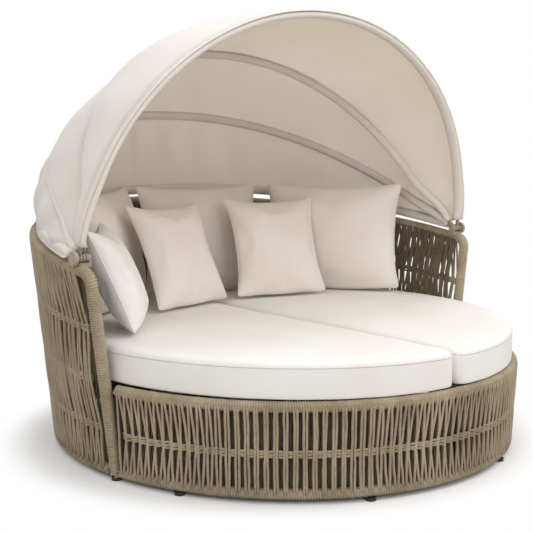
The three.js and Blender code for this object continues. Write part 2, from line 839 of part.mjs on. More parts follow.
function addBow(name, bow) {
  const pieces = [sweep(roundSection(bowRadius, bowSides), ...bowPath(bow))];
  const cuts = [];
  for (const side of [-1, 1]) {
    const faces = [side * eyePlace(bow) - legThickness / 2, side * eyePlace(bow) + legThickness / 2];
    pieces.push(drum(faces, eyeRadius, pinSides));
    cuts.push(drum([faces[0] - overrun, faces[1] + overrun], pinRadius + pivotClearance, boreSides));
  }
  addMesh(name, join(pieces, cuts), colours.bow, 0.4, 0.6);
}

// A panel of cloth lies over two bows and swells out between them
class Panel {
  constructor(from, to, fromReach, toReach, swell) {
    Object.assign(this, { from, to, fromReach, toReach, swell });
    this.fromShares = archShares(from);
    this.toShares = archShares(to);
  }

  point(i, j, lift) {
    const a = bowPoint(this.from, this.fromShares[i], lift);
    const b = bowPoint(this.to, this.toShares[i], lift);
    const length = a.distanceTo(b);
    const share = lerp(this.fromReach / length, 1 - this.toReach / length, j / clothSteps);
    const inside = clamp(share, 0, 1);
    const swell = this.swell * Math.min(length / swellSpan, 1) * 4 * inside * (1 - inside);
    const centre = new THREE.Vector3(0, pivotPlace, pivotHeight);
    const out = a.clone().add(b).divideScalar(2).sub(centre).normalize();
    return a.lerp(b, share).addScaledVector(out, swell);
  }

  geometry() {
    const skin = new Skin();
    const low = (i, j) => this.point(i, j, clothLift);
    const high = (i, j) => this.point(i, j, clothLift + clothThickness);
    const n = clothSteps;
    const m = archSteps;
    for (let i = 0; i < m; i++) {
      for (let j = 0; j < n; j++) {
        skin.quad(high(i, j), high(i, j + 1), high(i + 1, j + 1), high(i + 1, j));
        skin.quad(low(i, j), low(i + 1, j), low(i + 1, j + 1), low(i, j + 1));
      }
      skin.quad(low(i, 0), high(i, 0), high(i + 1, 0), low(i + 1, 0));
      skin.quad(high(i, n), low(i, n), low(i + 1, n), high(i + 1, n));
    }
    for (let j = 0; j < n; j++) {
      skin.quad(low(0, j), low(0, j + 1), high(0, j + 1), high(0, j));
      skin.quad(high(m, j), high(m, j + 1), low(m, j + 1), low(m, j));
    }
    return skin.geometry();
  }
}

function addCloth(name, ...sizes) {
  addMesh(name, new Panel(...sizes).geometry(), colours.cloth, 0.95);
}

// A saddle on the top rail with a cheek beside the bows, the pin through all of them, and its knob
function addHub(hand, side) {
  const cheekFace = firstEyePlace - legThickness / 2 - fit;
  const innerFace = cheekFace - bracketThickness;
  const knobFace = eyePlace(bows.rear) + legThickness / 2 + fit;
  const across = (from, to) => (side > 0 ? [from, to] : [-to, -from]);

  const cheek = drum(across(innerFace, cheekFace), eyeRadius, pinSides);
  const web = box(across(innerFace, cheekFace), [pivotPlace - eyeRadius, pivotPlace + eyeRadius],
    [hubRailTop, pivotHeight]);
  const saddle = box(across(innerFace, hubRailPlace + wrappedRadius / 2),
    [pivotPlace - bracketLength / 2, pivotPlace + bracketLength / 2],
    [hubRailTop - bracketDrop, hubRailTop + bracketBase]);
  const bore = drum(across(innerFace - overrun, cheekFace + overrun), pinRadius + pivotClearance, boreSides);
  addMesh(`${hand}_hub_bracket`, join([cheek, web, saddle], [bore, shellTopRail(wrappedRadius + fit)]),
    colours.hub, 0.5, 0.5);

  const headFace = innerFace - fit;
  const shaft = drum(across(headFace - overrun, knobFace + hubThickness / 2), pinRadius, pinSides);
  const head = drum(across(headFace - pinHeadHeight, headFace), pinHeadRadius, pinSides);
  addMesh(`${hand}_pivot_pin`, join([shaft, head]), colours.steel, 0.35, 0.9);

  const socketDepth = hubThickness / 2 + pivotClearance;
  const knob = new THREE.LatheGeometry([
    new THREE.Vector2(0, socketDepth),
    new THREE.Vector2(pinRadius + pivotClearance, socketDepth),
    new THREE.Vector2(pinRadius + pivotClearance, 0),
    new THREE.Vector2(hubRadius, 0),
    new THREE.Vector2(hubRadius, hubThickness - hubDish),
    new THREE.Vector2(hubRadius - hubDish, hubThickness),
    new THREE.Vector2(0, hubThickness),
  ], knobSides).rotateZ(-side * quarterTurn).translate(side * knobFace, pivotPlace, pivotHeight);
  addMesh(`${hand}_hub_knob`, knob, colours.hub, 0.5, 0.2);
}

function addHood() {
  for (const [name, bow] of Object.entries(bows)) addBow(`${name}_bow`, bow);
  addCloth("front_cloth", bows.front, bows.upper, -hemReach, fit, frontSwell);
  addCloth("middle_cloth", bows.upper, bows.lower, fit, fit, middleSwell);
  addCloth("rear_cloth", bows.lower, bows.rear, fit, -hemReach, rearSwell);
  addHub("right", 1);
  addHub("left", -1);
}

addFrontBase();
addShell();
addGlides();
addDecks();
addSeatCushion("left_seat_cushion", -1);
addSeatCushion("right_seat_cushion", 1);
addPillows();
addHood();

export default daybed;
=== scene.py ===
import json
import math
import bpy
import numpy as np
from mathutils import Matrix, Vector
from mathutils.bvhtree import BVHTree


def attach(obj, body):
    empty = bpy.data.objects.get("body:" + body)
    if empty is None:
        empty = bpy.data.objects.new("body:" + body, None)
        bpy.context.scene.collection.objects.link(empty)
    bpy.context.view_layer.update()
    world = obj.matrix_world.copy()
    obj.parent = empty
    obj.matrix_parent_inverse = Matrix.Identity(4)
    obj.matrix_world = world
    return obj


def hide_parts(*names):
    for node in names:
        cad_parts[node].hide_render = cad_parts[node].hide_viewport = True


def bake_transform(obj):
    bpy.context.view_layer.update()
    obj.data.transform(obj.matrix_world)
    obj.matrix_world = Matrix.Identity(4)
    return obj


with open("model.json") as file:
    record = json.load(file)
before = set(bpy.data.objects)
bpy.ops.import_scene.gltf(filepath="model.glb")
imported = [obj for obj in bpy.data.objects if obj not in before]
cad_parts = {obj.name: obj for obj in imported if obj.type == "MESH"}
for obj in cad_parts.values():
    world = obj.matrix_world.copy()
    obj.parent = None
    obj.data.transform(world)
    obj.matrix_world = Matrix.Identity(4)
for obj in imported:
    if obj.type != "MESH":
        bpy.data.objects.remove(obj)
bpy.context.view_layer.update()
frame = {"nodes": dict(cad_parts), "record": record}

# Round outdoor daybed: rope frame, seat cushions, pillows and folding hood. Metres, front to -Y, floor at 0.

randomDraws = np.random.default_rng(11)


# Camera: stands where the photograph was taken from
cameraView = {"place": (-2.660, -3.153, 1.1657), "turn": 39.39, "down": 6.93, "lens": 69.5, "sensor": 36}

cameraData = bpy.data.cameras.new("camera")
cameraData.lens = cameraView["lens"]
cameraData.sensor_width = cameraView["sensor"]
camera = bpy.data.objects.new("camera", cameraData)
camera.location = cameraView["place"]
camera.rotation_euler = (math.radians(90 - cameraView["down"]), 0, math.radians(-cameraView["turn"]))
bpy.context.scene.collection.objects.link(camera)
bpy.context.scene.camera = camera


# Materials

def hexColour(text):
    parts = [int(text[i:i + 2], 16) / 255 for i in (1, 3, 5)]
    return [p / 12.92 if p <= 0.04045 else ((p + 0.055) / 1.055) ** 2.4 for p in parts] + [1]


def addNode(tree, kind, settings=(), links=()):
    node = tree.nodes.new(kind)
    for name, value in dict(settings).items():
        if isinstance(name, str) and hasattr(node, name):
            setattr(node, name, value)
        else:
            node.inputs[name].default_value = value
    for name, socket in dict(links).items():
        tree.links.new(socket, node.inputs[name])
    return node


def addNoise(tree, vector, scale, detail=2.0, roughness=0.5):
    return addNode(tree, "ShaderNodeTexNoise", {"Scale": scale, "Detail": detail, "Roughness": roughness},
                   {"Vector": vector}).outputs["Fac"]


# value times share plus an addend, which is a number or another socket
def addShare(tree, value, share, addend):
    node = addNode(tree, "ShaderNodeMath", {"operation": "MULTIPLY_ADD", 1: share}, {0: value})
    if isinstance(addend, float):
        node.inputs[2].default_value = addend
    else:
        tree.links.new(addend, node.inputs[2])
    return node.outputs["Value"]


def addMath(tree, operation, first, second):
    return addNode(tree, "ShaderNodeMath", {"operation": operation}, {0: first, 1: second}).outputs["Value"]


def addRoughness(tree, shader, noise, smooth, rough):
    share = addNode(tree, "ShaderNodeMapRange", {"To Min": smooth, "To Max": rough}, {"Value": noise})
    tree.links.new(share.outputs["Result"], shader.inputs["Roughness"])


def addBump(tree, shader, height, share, distance):
    bump = addNode(tree, "ShaderNodeBump", {"Strength": share, "Distance": distance}, {"Height": height})
    tree.links.new(bump.outputs["Normal"], shader.inputs["Normal"])


def objectPlace(tree):
    return addNode(tree, "ShaderNodeTexCoord").outputs["Object"]


def startMaterial(name, settings):
    material = bpy.data.materials.new(name)
    material.use_nodes = True
    tree = material.node_tree
    shader = tree.nodes["Principled BSDF"]
    for key, value in settings.items():
        shader.inputs[key].default_value = value
    return material, tree, shader


# A ramp between colours given as (place, hex)
def addRamp(tree, socket, stops):
    ramp = addNode(tree, "ShaderNodeValToRGB", links={"Fac": socket})
    elements = ramp.color_ramp.elements
    while len(elements) < len(stops):
        elements.new(0.5)
    for element, (place, colour) in zip(elements, stops):
        element.position = place
        element.color = hexColour(colour)
    return ramp.outputs["Color"]


# Two crossing sets of threads, from a map in metres. A wave at scale 1 repeats every pi / 10.
threadWave = {"Distortion": 0.6, "Detail": 1.0, "Detail Scale": 0.3}


def addThreads(tree, vector, spacing, turns):
    waves = []
    for turn in turns:
        place = addNode(tree, "ShaderNodeMapping", {"Rotation": (0, 0, math.radians(turn))},
                        {"Vector": vector})
        wave = addNode(tree, "ShaderNodeTexWave", dict(threadWave, Scale=math.pi / 10 / spacing),
                       {"Vector": place.outputs["Vector"]})
        waves.append(wave.outputs["Fac"])
    return addMath(tree, "MULTIPLY", *waves)


# Braided polyester rope: dull, each plait catches a little light, the yarn fades unevenly
ropeLook = {"plait": 0.0032, "plaitTurns": (38, -38), "plaitShare": 0.12, "plaitDrop": -0.05,
            "fade": 9, "fadeShare": 0.7, "grime": 70, "grimeShare": 0.3, "bump": 0.0005, "bumpShare": 0.7,
            "colours": [(0.3, "#93836b"), (0.5, "#a8987f"), (0.7, "#b9aa91")],
            # darker colours for the inner layer of the walls: painted shade
            "innerShadeColours": [(0.3, "#5c4f3d"), (0.5, "#6b5d49"), (0.7, "#7a6b56")]}


def ropeMaterial(name, colours):
    material, tree, shader = startMaterial(name, {
        "Roughness": 0.85, "IOR": 1.5, "Specular IOR Level": 0.3,
        "Sheen Weight": 0.15, "Sheen Roughness": 0.5})
    ropeMap = addNode(tree, "ShaderNodeUVMap", {"uv_map": "rope"}).outputs["UV"]
    place = objectPlace(tree)
    plaits = addThreads(tree, ropeMap, ropeLook["plait"], ropeLook["plaitTurns"])
    shade = addShare(tree, plaits, ropeLook["plaitShare"], ropeLook["plaitDrop"])
    shade = addShare(tree, addNoise(tree, place, ropeLook["fade"], 4.0), ropeLook["fadeShare"], shade)
    shade = addShare(tree, addNoise(tree, place, ropeLook["grime"], 3.0), ropeLook["grimeShare"], shade)
    tree.links.new(addRamp(tree, shade, colours), shader.inputs["Base Color"])
    addBump(tree, shader, plaits, ropeLook["bumpShare"], ropeLook["bump"])
    return material


# Woven cloth: fine threads, a little fuzz at grazing angles, faint cloudiness from dyeing and handling.
# Light that passes through spreads over the glow's scale, a little further in red.
clothLook = {"glowRadius": (1.0, 0.96, 0.92), "glowScale": 0.012, "slubShare": 0.5}


def clothMaterial(name, look):
    material, tree, shader = startMaterial(name, {
        "Roughness": look["roughness"], "IOR": 1.45, "Specular IOR Level": 0.2,
        "Sheen Weight": look["sheen"], "Sheen Roughness": 0.6, "Subsurface Weight": look.get("glow", 0.0),
        "Subsurface Radius": clothLook["glowRadius"], "Subsurface Scale": clothLook["glowScale"]})
    vector = place = objectPlace(tree)
    if look["map"] != "Object":
        vector = addNode(tree, "ShaderNodeUVMap", {"uv_map": look["map"]}).outputs["UV"]
    threads = addThreads(tree, vector, look["thread"], (0, 90))
    clouds = addNoise(tree, place, look["clouds"], 5.0, 0.55)
    shade = addShare(tree, threads, look["threadShare"], clouds)
    tree.links.new(addRamp(tree, shade, look["colours"]), shader.inputs["Base Color"])
    height = addShare(tree, addNoise(tree, vector, look["slubs"]), clothLook["slubShare"], threads)
    addBump(tree, shader, height, look["bumpShare"], look["bump"])
    return material


# Acrylic canvas threads are 0.5 mm apart, drawn at 2.4 mm so that they show; daylight glows through it
canvasLook = {"map": "cloth", "thread": 0.0024, "threadShare": 0.3, "clouds": 2.2, "slubs": 160,
              "bump": 0.0006, "bumpShare": 0.5, "roughness": 0.9, "sheen": 0.2, "glow": 0.6,
              "colours": [(0.35, "#dbd2c9"), (0.6, "#e2dad1"), (0.9, "#e9e2da")]}
# The same canvas inside the hood, drawn warmer: painted warm light inside the hood
insideWarmLightLook = dict(canvasLook, colours=[(0.35, "#d9c7b4"), (0.6, "#dfcebc"), (0.9, "#e5d6c5")])
# Olefin seat cloth, 0.6 mm threads drawn at 2.4 mm
seatLook = {"map": "Object", "thread": 0.0024, "threadShare": 0.1, "clouds": 2.6, "slubs": 150,
            "bump": 0.0003, "bumpShare": 0.15, "roughness": 0.92, "sheen": 0.2,
            "colours": [(0.35, "#e9e5df"), (0.6, "#efece7"), (0.9, "#f5f3ef")]}
# The seam's cord, drawn darker than the seat cloth: painted shade along the seam
seamShadeLook = dict(seatLook, colours=[(0.35, "#cec6bb"), (0.6, "#d6cfc5"), (0.9, "#ddd7ce")])
# Pillow cloth of the same make in a warmer sand, and a paler one for the side pillow
pillowLook = {"map": "pillow", "thread": 0.0024, "threadShare": 0.3, "clouds": 5, "slubs": 140,
              "bump": 0.0006, "bumpShare": 0.5, "roughness": 0.92, "sheen": 0.25,
              "colours": [(0.35, "#e8dfd3"), (0.6, "#eee6dc"), (0.9, "#f3ece3")]}
palePillowLook = dict(pillowLook, colours=[(0.35, "#e8e4de"), (0.6, "#eeebe6"), (0.9, "#f4f2ee")])


# Powder-coated aluminium: satin, with the faint orange peel of the coating
coatLook = {"peel": 900.0, "bump": 0.0002, "bumpShare": 0.25, "wear": 25.0, "smoother": 0.08, "rougher": 0.12}


def coatedMaterial(name, colour, roughness=0.45):
    material, tree, shader = startMaterial(name, {
        "Base Color": hexColour(colour), "Metallic": 0.0, "Roughness": roughness, "IOR": 1.5,
        "Coat Weight": 0.15, "Coat Roughness": 0.35})
    place = objectPlace(tree)
    addRoughness(tree, shader, addNoise(tree, place, coatLook["wear"], 4.0),
                 roughness - coatLook["smoother"], roughness + coatLook["rougher"])
    addBump(tree, shader, addNoise(tree, place, coatLook["peel"]), coatLook["bumpShare"], coatLook["bump"])
    return material


# Stainless steel, turned: fine rings round the axis blur its shine
steelLook = {"colour": "#b9b8b4", "rings": (900, 40, 40), "smooth": 0.24, "rough": 0.42}


def steelMaterial():
    material, tree, shader = startMaterial("Turned stainless steel", {
        "Base Color": hexColour(steelLook["colour"]), "Metallic": 1.0})
    stretch = addNode(tree, "ShaderNodeMapping", {"Scale": steelLook["rings"]}, {"Vector": objectPlace(tree)})
    rings = addNoise(tree, stretch.outputs["Vector"], 1.0)
    addRoughness(tree, shader, rings, steelLook["smooth"], steelLook["rough"])
    return material


# Moulded nylon: fine mould grain, dull sheen
nylonLook = {"grain": 700.0, "bump": 0.0002, "bumpShare": 0.2}


def mouldedMaterial(name, colour, roughness=0.5):
    material, tree, shader = startMaterial(name, {
        "Base Color": hexColour(colour), "Roughness": roughness, "IOR": 1.53})
    grain = addNode(tree, "ShaderNodeTexVoronoi", {"Scale": nylonLook["grain"]},
                    {"Vector": objectPlace(tree)})
    addBump(tree, shader, grain.outputs["Distance"], nylonLook["bumpShare"], nylonLook["bump"])
    return material


rope = ropeMaterial("Braided polyester rope", ropeLook["colours"])
# the layer inside is drawn in darker colours: painted shade for the shadow that the outer layer casts on it
shadedInnerRope = ropeMaterial("Braided polyester rope in painted shade", ropeLook["innerShadeColours"])
canvas = clothMaterial("Woven acrylic canvas", canvasLook)
insideWarmLight = clothMaterial("Inside of acrylic canvas in painted warm light", insideWarmLightLook)
doubledCanvas = clothMaterial("Doubled acrylic canvas", dict(canvasLook, glow=0.0))
seatCloth = clothMaterial("Woven olefin seat cloth", seatLook)
seamShadeThread = clothMaterial("Twisted polyester seam in painted shade", seamShadeLook)
pillowCloth = clothMaterial("Woven olefin pillow cloth", pillowLook)
palePillowCloth = clothMaterial("Woven olefin pale pillow cloth", palePillowLook)
bowCoat = coatedMaterial("Powder-coated aluminium bow", "#968a77")
hubCoat = coatedMaterial("Powder-coated aluminium hub", "#968974")
# the deck's dark brown coat is drawn darker still: painted shade inside the base, shared by the uprights
deckCoatAndShade = coatedMaterial("Powder-coated aluminium deck", "#2c241c", 0.5)
steel = steelMaterial()
footNylon = mouldedMaterial("Moulded nylon glide", "#1d1a18")
knobNylon = mouldedMaterial("Moulded nylon knob", "#a0937e", 0.42)
print("daybed: materials are ready")


# Meshes

def pick(*pieces):
    bpy.ops.object.select_all(action="DESELECT")
    for piece in pieces:
        piece.select_set(True)
    bpy.context.view_layer.objects.active = pieces[0]


def applyModifier(piece, name, kind, settings):
    pick(piece)
    modifier = piece.modifiers.new(name, kind)
    for key, value in settings.items():
        setattr(modifier, key, value)
    bpy.ops.object.modifier_apply(modifier=name)


# A mesh object from corner places, faces and, where a pattern follows the surface, a map in metres
def makePiece(name, corners, faces, material, mapName=None, mapPlaces=None):
    mesh = bpy.data.meshes.new(name)
    mesh.from_pydata([tuple(c) for c in corners], [], [tuple(f) for f in faces])
    if mapName:
        layer = mesh.uv_layers.new(name=mapName)
        layer.data.foreach_set("uv", np.asarray(mapPlaces, np.float32).ravel())
    mesh.materials.append(material)
    mesh.polygons.foreach_set("use_smooth", [True] * len(mesh.polygons))
    piece = bpy.data.objects.new(name, mesh)
    bpy.context.scene.collection.objects.link(piece)
    return piece


def outwardFaces(piece):
    pick(piece)
    bpy.ops.object.mode_set(mode="EDIT")
    bpy.ops.mesh.select_all(action="SELECT")
    bpy.ops.mesh.normals_make_consistent(inside=False)
    bpy.ops.object.mode_set(mode="OBJECT")


def cornersOf(piece):
    places = np.empty(len(piece.data.vertices) * 3)
    piece.data.vertices.foreach_get("co", places)
    return places.reshape(-1, 3)


def moveCorners(piece, places):
    piece.data.vertices.foreach_set("co", np.asarray(places, np.float32).ravel())
    piece.data.update()


def normalise(vectors):
    return vectors / np.maximum(np.linalg.norm(vectors, axis=-1, keepdims=True), 1e-12)


def smooth(value):
    value = np.clip(value, 0, 1)
    return value * value * (3 - 2 * value)


def sampled(along, table, places):
    return np.stack([np.interp(places, along, column) for column in table.T], -1)


# Length along each path, from points in the last axis but one
def lengthAlong(points):
    steps = np.linalg.norm(np.diff(points, axis=-2), axis=-1)
    return np.concatenate([np.zeros_like(steps[..., :1]), np.cumsum(steps, -1)], -1)


def gridFaces(index):
    return np.stack([index[:-1, :-1], index[:-1, 1:], index[1:, 1:], index[1:, :-1]], -1).reshape(-1, 4)


# Faces of tubes whose rings of points lie in the last axis
def tubeFaces(index):
    after = np.roll(index, -1, axis=-1)
    return np.stack([index[..., :-1, :], after[..., :-1, :], after[..., 1:, :], index[..., 1:, :]],
                    -1).reshape(-1, 4)


def closedTube(index):
    return tubeFaces(index).tolist() + [index[0].tolist()[::-1], index[-1].tolist()]


def mapOfFaces(flatMap, faces):
    return flatMap[[i for face in faces for i in face]]


# Round ropes along many paths at once: paths is (ropes, points, 3), sideways the wall's outward direction
def ropeBundle(paths, sideways, radius, sides=6):
    count, steps, _ = paths.shape
    tangent = normalise(np.gradient(paths, axis=1))
    side = normalise(sideways - tangent * np.sum(sideways * tangent, -1, keepdims=True))
    up = np.cross(tangent, side)
    turn = np.arange(sides) / sides * 2 * np.pi
    rings = (paths[:, :, None] + radius * (np.cos(turn)[:, None] * side[:, :, None]
                                           + np.sin(turn)[:, None] * up[:, :, None]))
    index = np.arange(count * steps * sides).reshape(count, steps, sides)
    around = np.arange(sides + 1) / sides * 2 * np.pi * radius
    flat = np.stack(np.broadcast_arrays(lengthAlong(paths)[..., None], around), -1)
    quadMap = np.stack([flat[:, :-1, :-1], flat[:, :-1, 1:], flat[:, 1:, 1:], flat[:, 1:, :-1]], -2)
    ends = [row[::-1] for row in index[:, 0].tolist()] + index[:, -1].tolist()
    endMap = np.zeros((len(ends) * sides, 2))
    maps = np.concatenate([quadMap.reshape(-1, 2), endMap])
    return rings.reshape(-1, 3), tubeFaces(index).tolist() + ends, maps


def joinBundles(bundles):
    corners, faces, maps, first = [], [], [], 0
    for places, sides, mapPlaces in bundles:
        corners.append(places)
        faces += [[first + i for i in face] for face in sides]
        maps.append(mapPlaces)
        first += len(places)
    return np.concatenate(corners), faces, np.concatenate(maps)


# Rope wound round a tube: a thread whose grooves lie between the turns. Dips are shares of the groove
# at the rings of one turn.
wrapShape = {"rope": 0.0086, "groove": 0.0046, "dips": (1, 0.25, 0, 0.25), "sides": 16, "unevenness": 0.0005}


def wrapTube(name, points, sideways, radius):
    sides, each = wrapShape["sides"], len(wrapShape["dips"])
    along = lengthAlong(points)
    turns = int(along[-1] / wrapShape["rope"]) - 1
    pitch = along[-1] / (turns + 1)
    rings = turns * each
    place = (np.arange(rings + 1)[:, None] / each + np.arange(sides) / sides) * pitch
    tangents = normalise(np.gradient(points, axis=0))
    middle, tangent = sampled(along, points, place), normalise(sampled(along, tangents, place))
    side = sampled(along, sideways, place)
    side = normalise(side - tangent * np.sum(side * tangent, -1, keepdims=True))
    up = np.cross(tangent, side)
    dip = np.array(wrapShape["dips"])[np.arange(rings + 1) % each] * wrapShape["groove"]
    uneven = randomDraws.normal(0, wrapShape["unevenness"], turns + 1)[np.arange(rings + 1) // each]
    reach = (np.interp(place, along, radius + 0 * along) - (dip + np.abs(uneven))[:, None])[..., None]
    turn = (np.arange(sides) / sides * 2 * np.pi)[:, None]
    corners = middle + reach * (np.cos(turn) * side + np.sin(turn) * up)
    # the last point of a ring meets the first point of the ring one turn further on
    index = np.arange((rings + 1) * sides).reshape(rings + 1, sides)
    wrap = np.stack([index[:-each - 1, -1], index[each:-1, 0], index[each + 1:, 0], index[1:-each, -1]], -1)
    start = list(index[0]) + list(index[each:0:-1, 0])
    end = list(index[-1]) + list(index[-2:-each - 2:-1, -1])
    faces = gridFaces(index).tolist() + wrap.tolist() + [start[::-1], end]
    flatMap = np.stack([turn[:, 0] * np.mean(radius) + 0 * place, place], -1).reshape(-1, 2)
    piece = makePiece(name, corners.reshape(-1, 3), faces, rope, "rope", mapOfFaces(flatMap, faces))
    outwardFaces(piece)
    return piece


# Walls: ovals that widen from the bottom rail to the top rail. Each rail is half width, half depth and
# height. Angles run from the front, positive to the right, and the mean radius turns lengths into angles.
walls = {
    "front": {"low": (0.880, 0.924, 0.0323), "high": (0.896, 0.937, 0.324)},
    "shell": {"low": (0.880, 0.924, 0.0323), "high": (0.970, 0.937, 0.750)},
}
frameShape = {"radius": 0.020, "postRadius": 0.0228, "split": math.radians(80.6), "frontEnd": 1.38035,
              "arm": 0.750, "rise": 0.144, "corner": 0.045, "foot": 0.0123, "footInset": 0.022,
              "meanRadius": 0.9535}
railSteps = {"post": 60, "bend": 12, "rail": 400, "shellFoot": 500}


def shellRim(angle):
    return frameShape["arm"] - frameShape["rise"] * np.cos(angle)


def frontRim(angle):
    return walls["front"]["high"][2] + 0 * angle


def wallAxes(wall, angle, height):
    low, high = walls[wall]["low"], walls[wall]["high"]
    top = frontRim(angle) if wall == "front" else shellRim(angle)
    share = (np.minimum(height, top) - low[2]) / (top - low[2])
    return low[0] + (high[0] - low[0]) * share, low[1] + (high[1] - low[1]) * share


def wallNormal(wall, angle, height):
    a, b = wallAxes(wall, angle, height)
    return normalise(np.stack([np.sin(angle) / a, -np.cos(angle) / b, 0 * angle * a], -1))


def wallPoint(wall, angle, height, depth=0.0):
    angle, height, depth = np.broadcast_arrays(angle, height, depth)
    a, b = wallAxes(wall, angle, height)
    flat = np.stack([a * np.sin(angle), -b * np.cos(angle), height + 0.0], -1)
    return flat + wallNormal(wall, angle, height) * depth[..., None]


shellStart = frameShape["split"]
shellEnd = 2 * math.pi - shellStart
frontEnd = frameShape["frontEnd"]
meanRadius = frameShape["meanRadius"]
bendTurn = frameShape["corner"] / meanRadius
postTop = shellRim(shellStart + bendTurn) - frameShape["corner"]


def railWrap(name, wall, angles, heights, radius=frameShape["radius"]):
    return wrapTube(name, wallPoint(wall, angles, heights), wallNormal(wall, angles, heights), radius)


# The shell's rail runs round the back and bends down into a stouter post at each end
def shellRail():
    corner = frameShape["corner"]
    bend = np.linspace(0, math.pi / 2, railSteps["bend"])[1:]
    rise = [(shellStart, height) for height in np.linspace(frameShape["foot"], postTop, railSteps["post"])]
    rise += [(shellStart + bendTurn * (1 - math.cos(b)), postTop + corner * math.sin(b)) for b in bend]
    angles = np.linspace(shellStart + bendTurn, shellEnd - bendTurn, railSteps["rail"])
    rim = [(a, shellRim(a)) for a in angles[1:-1]]
    fall = [(2 * math.pi - a, height) for a, height in reversed(rise)]
    table = np.array(rise + rim + fall)
    fromPost = np.abs(math.pi - table[:, 0]) - (math.pi - shellStart - 2 * bendTurn)
    stouter = frameShape["postRadius"] - frameShape["radius"]
    radius = frameShape["radius"] + stouter * smooth(fromPost / bendTurn / 2)
    return railWrap("shell_rail_rope", "shell", table[:, 0], table[:, 1], radius)


def makeFrameRope():
    foot = walls["front"]["low"][2]
    inner = shellStart + frameShape["footInset"] / meanRadius
    frontAngles = np.linspace(-frontEnd, frontEnd, railSteps["rail"])
    backAngles = np.linspace(inner, 2 * math.pi - inner, railSteps["shellFoot"])
    made = [
        (railWrap("front_rail_rope", "front", frontAngles, frontRim(frontAngles)), ["front_top_rail"]),
        (railWrap("front_foot_rope", "front", frontAngles, foot + 0 * frontAngles), ["front_lower_frame"]),
        (shellRail(), ["shell_top_rail", "left_post", "right_post"]),
        (railWrap("shell_foot_rope", "shell", backAngles, foot + 0 * backAngles), ["shell_lower_frame"]),
    ]
    for piece, nodes in made:
        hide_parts(*nodes)
        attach(piece, "frame")


makeFrameRope()
print("daybed: rails and posts are wound")


# Uprights inside the walls: plain tubes, a hair slimmer than the real ones because the ropes touch them
uprightShape = {"radius": 0.011, "slimmer": 0.0005, "sides": 20, "edgeAngle": 40, "inset": 0.013,
                "front": 7, "shell": 6}


def makeUprights(name, wall, angles, rimAt, node):
    tubes = []
    for angle in angles:
        ends = wallPoint(wall, angle, np.array([walls[wall]["low"][2], float(rimAt(angle))]))
        bpy.ops.mesh.primitive_cylinder_add(vertices=uprightShape["sides"],
                                            radius=uprightShape["radius"] - uprightShape["slimmer"],
                                            depth=float(np.linalg.norm(ends[1] - ends[0])),
                                            location=tuple((ends[0] + ends[1]) / 2))
        tubes.append(bpy.context.active_object)
        tubes[-1].rotation_euler = Vector(ends[1] - ends[0]).to_track_quat("Z", "Y").to_euler()
    pick(*tubes)
    bpy.ops.object.join()
    piece = bpy.context.active_object
    bpy.ops.object.transform_apply(location=True, rotation=True, scale=True)
    piece.name = piece.data.name = name
    # the uprights take the deck's coat, darkened as painted shade
    piece.data.materials.append(deckCoatAndShade)
    bpy.ops.object.shade_smooth_by_angle(angle=math.radians(uprightShape["edgeAngle"]))
    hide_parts(node)
    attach(piece, "frame")


lastUpright = frontEnd - uprightShape["inset"] / meanRadius
makeUprights("front_uprights", "front", np.linspace(-lastUpright, lastUpright, uprightShape["front"]),
             frontRim, "front_lower_frame")
makeUprights("shell_uprights", "shell",
             np.linspace(shellStart + bendTurn, shellEnd - bendTurn, uprightShape["shell"] + 2)[1:-1],
             shellRim, "shell_lower_frame")


# Woven walls: pairs of rope slant from rail to rail in an outer and an inner layer, which cross,
# and three ropes laid level bind them at each row. Slants are shares of the pitch, from the bottom up.
weaves = {
    "front": {
        "bays": 6, "pairs": 80, "steps": 15, "radius": 0.0045, "inset": 0.010,
        "levels": [0, 0.47, 1], "rows": [0.47], "outerSlant": [0.0, 0.35, 0.0],
        "innerSlant": [0.0, -0.5, 0.0], "innerOffset": 0.5, "spread": [0, 0.40, 0],
        "apart": 0.0046, "wobble": 0.0006, "middle": -0.670, "upright": 0.1, "leanReach": 0.45,
    },
    "shell": {
        "bays": 7, "pairs": 98, "steps": 25, "radius": 0.0050, "inset": 0.028,
        "levels": [0, 0.22, 0.46, 0.72, 1], "rows": [0.22, 0.46, 0.72],
        "outerSlant": [0.45, 0.1, 0.75, 0.0, 1.0], "innerSlant": [0.0, 0.7, 0.1, 0.8, 0.2],
        "innerOffset": 0.3, "spread": [0, 0.30, 0.12, 0.34, 0],
        "apart": 0.0047, "wobble": 0.0014, "leanReach": 0.9,
    },
}
# What both walls share. Near a row the ropes are drawn together and to the middle of the wall. A row's
# waves are size, turns and shift.
weaveShape = {
    "outerDepth": 0.0152, "innerDepth": -0.0135, "depthWobble": 0.0003, "sway": 0.0006, "swayTurns": 9,
    "nearRow": 0.045, "drawTogether": 0.0009, "drawInwards": 0.002, "rowDepth": 0.0085,
    "rowBehind": 0.0045, "rowInFront": 0.006, "rowGap": 0.0088, "rowLean": 0.0006, "rowEnd": 0.2,
    "rowWaves": [(0.0012, 61, 2.1), (0.0008, 143, 1)],
}


